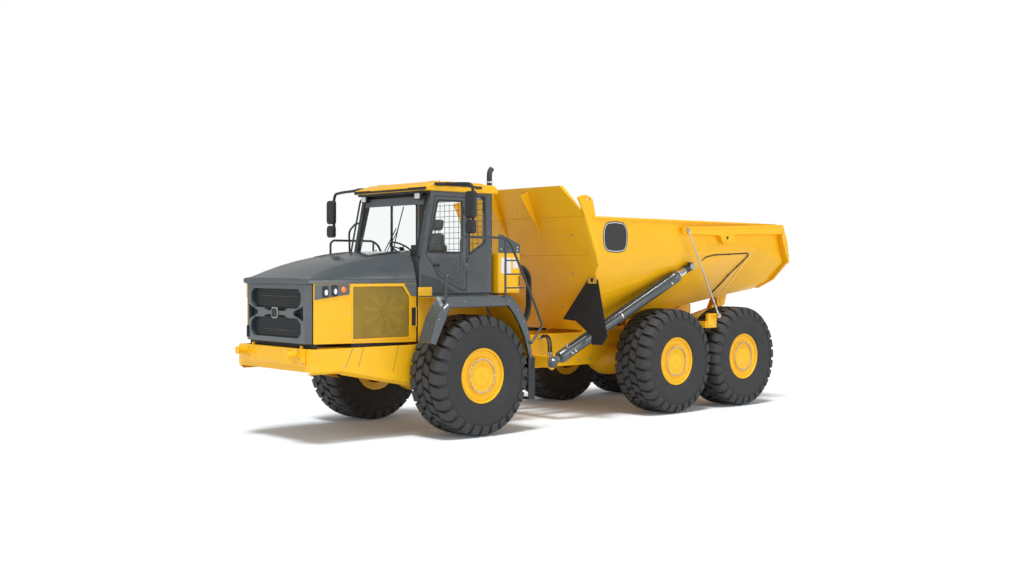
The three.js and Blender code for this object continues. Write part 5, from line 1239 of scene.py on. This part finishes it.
# ---------------------------------------------------------------- frame: covers, hoses, blocks
for _ in sides():
    box((0.525, 0.62), (-1.4, -1.3), (1.2, 1.33))
    box((0.53, 0.58), (-1.7, -1.52), (1.16, 1.3))
    box((0.955, 1.0), (-1.47, -1.425), (1.4, 1.5))
piece("frame_blocks", YELLOW, bevel=0.006)
for _ in sides():
    rod((0.955, -1.46, 1.47), (1.06, -1.45, 1.47), 0.016, 10, 0.003)
piece("frame_lock_bars", RED)
for _ in sides():
    for k, z in enumerate((1.425, 1.455)):
        pipe([(0.6 + 0.05 * k, -1.405, z), (0.66 + 0.05 * k, -1.37, z - 0.01),
              (0.74 + 0.05 * k, -1.35, z - 0.08), (0.8 + 0.05 * k, -1.36, z - 0.22)], 0.015, 10, 5)
piece("tower_hoses", HOSE)
for _ in sides():
    for k, drop in enumerate((0.0, 0.06)):
        pipe([(0.5, -0.12 - drop, 1.37), (0.62, -0.16 - drop, 1.44), (0.76, -0.2 - drop, 1.4),
              (0.86, -0.26 - drop, 1.26), (0.88, -0.28 - drop, 1.1)], 0.018, 12, 6)
piece("lift_feed_hoses", HOSE, "rear_unit")
for _ in sides():
    for drop in (0.0, 0.06):
        rod((0.4705, -0.12 - drop, 1.37), (0.53, -0.13 - drop, 1.38), 0.024, 10, 0.004)
        rod((0.88, -0.28 - drop, 1.15), (0.88, -0.28 - drop, 1.085), 0.025, 10, 0.004)
piece("lift_feed_fittings", STEEL, "rear_unit")
for _ in sides():
    nuts(0.4705, [(y, 0.95) for y in levels(0.2, 1.1, 4)], 0.03, 0.014)
    nuts(0.8105, circle((3.025, 1.22), 0.1, 8), 0.02, 0.01)
    nuts(1.6605, [(3.06, 1.54), (3.06, 1.72)], 0.022, 0.01)
piece("rear_frame_bolts", ZINC, "rear_unit")
for _ in sides():
    slab(1, soft_rectangle(0.355, 1.52, 0.465, 1.86, 0.02), 4.9005, 4.93)
piece("tail_lamp_housings", PLASTIC, "rear_unit", bevel=0.004)
for _ in sides():
    for z in (1.6, 1.78):
        lathe([(0, 0), (0, 0.04), (0.01, 0.038), (0.014, 0.0)], (0.41, 4.93, z), (0, 1, 0), 24)
piece("tail_lamp_lenses", RED, "rear_unit")

# Eyes and turnbuckles of the tailgate cables.
for hand in sides():
    low, high = Vector((CABLE_X, *CABLE_LOW)), Vector((CABLE_X, *CABLE_HIGH))
    way = (high - low).normalized()
    for end in (low, high):
        lathe([(-0.014, 0.02), (-0.014, 0.041), (0.014, 0.041), (0.014, 0.02)], end, (1, 0, 0), 28)
        lathe([(-0.016, 0), (-0.016, 0.0195), (0.016, 0.0195), (0.016, 0)], end, (1, 0, 0), 20)
    for at, r in ((0.05, 0.019), (0.3, 0.021), (1.7, 0.019)):
        lathe([(0, 0.0142), (0, r), (0.07, r), (0.07, 0.0142)], low + way * at, way, 16)
    lathe([(0.12, 0.0142), (0.12, 0.018), (0.135, 0.021), (0.155, 0.021), (0.17, 0.018), (0.17, 0.0142)],
          low + way * 0.05, way, 16)
    piece(f"{hand}_cable_ends", STEEL, "tailgate_cables")
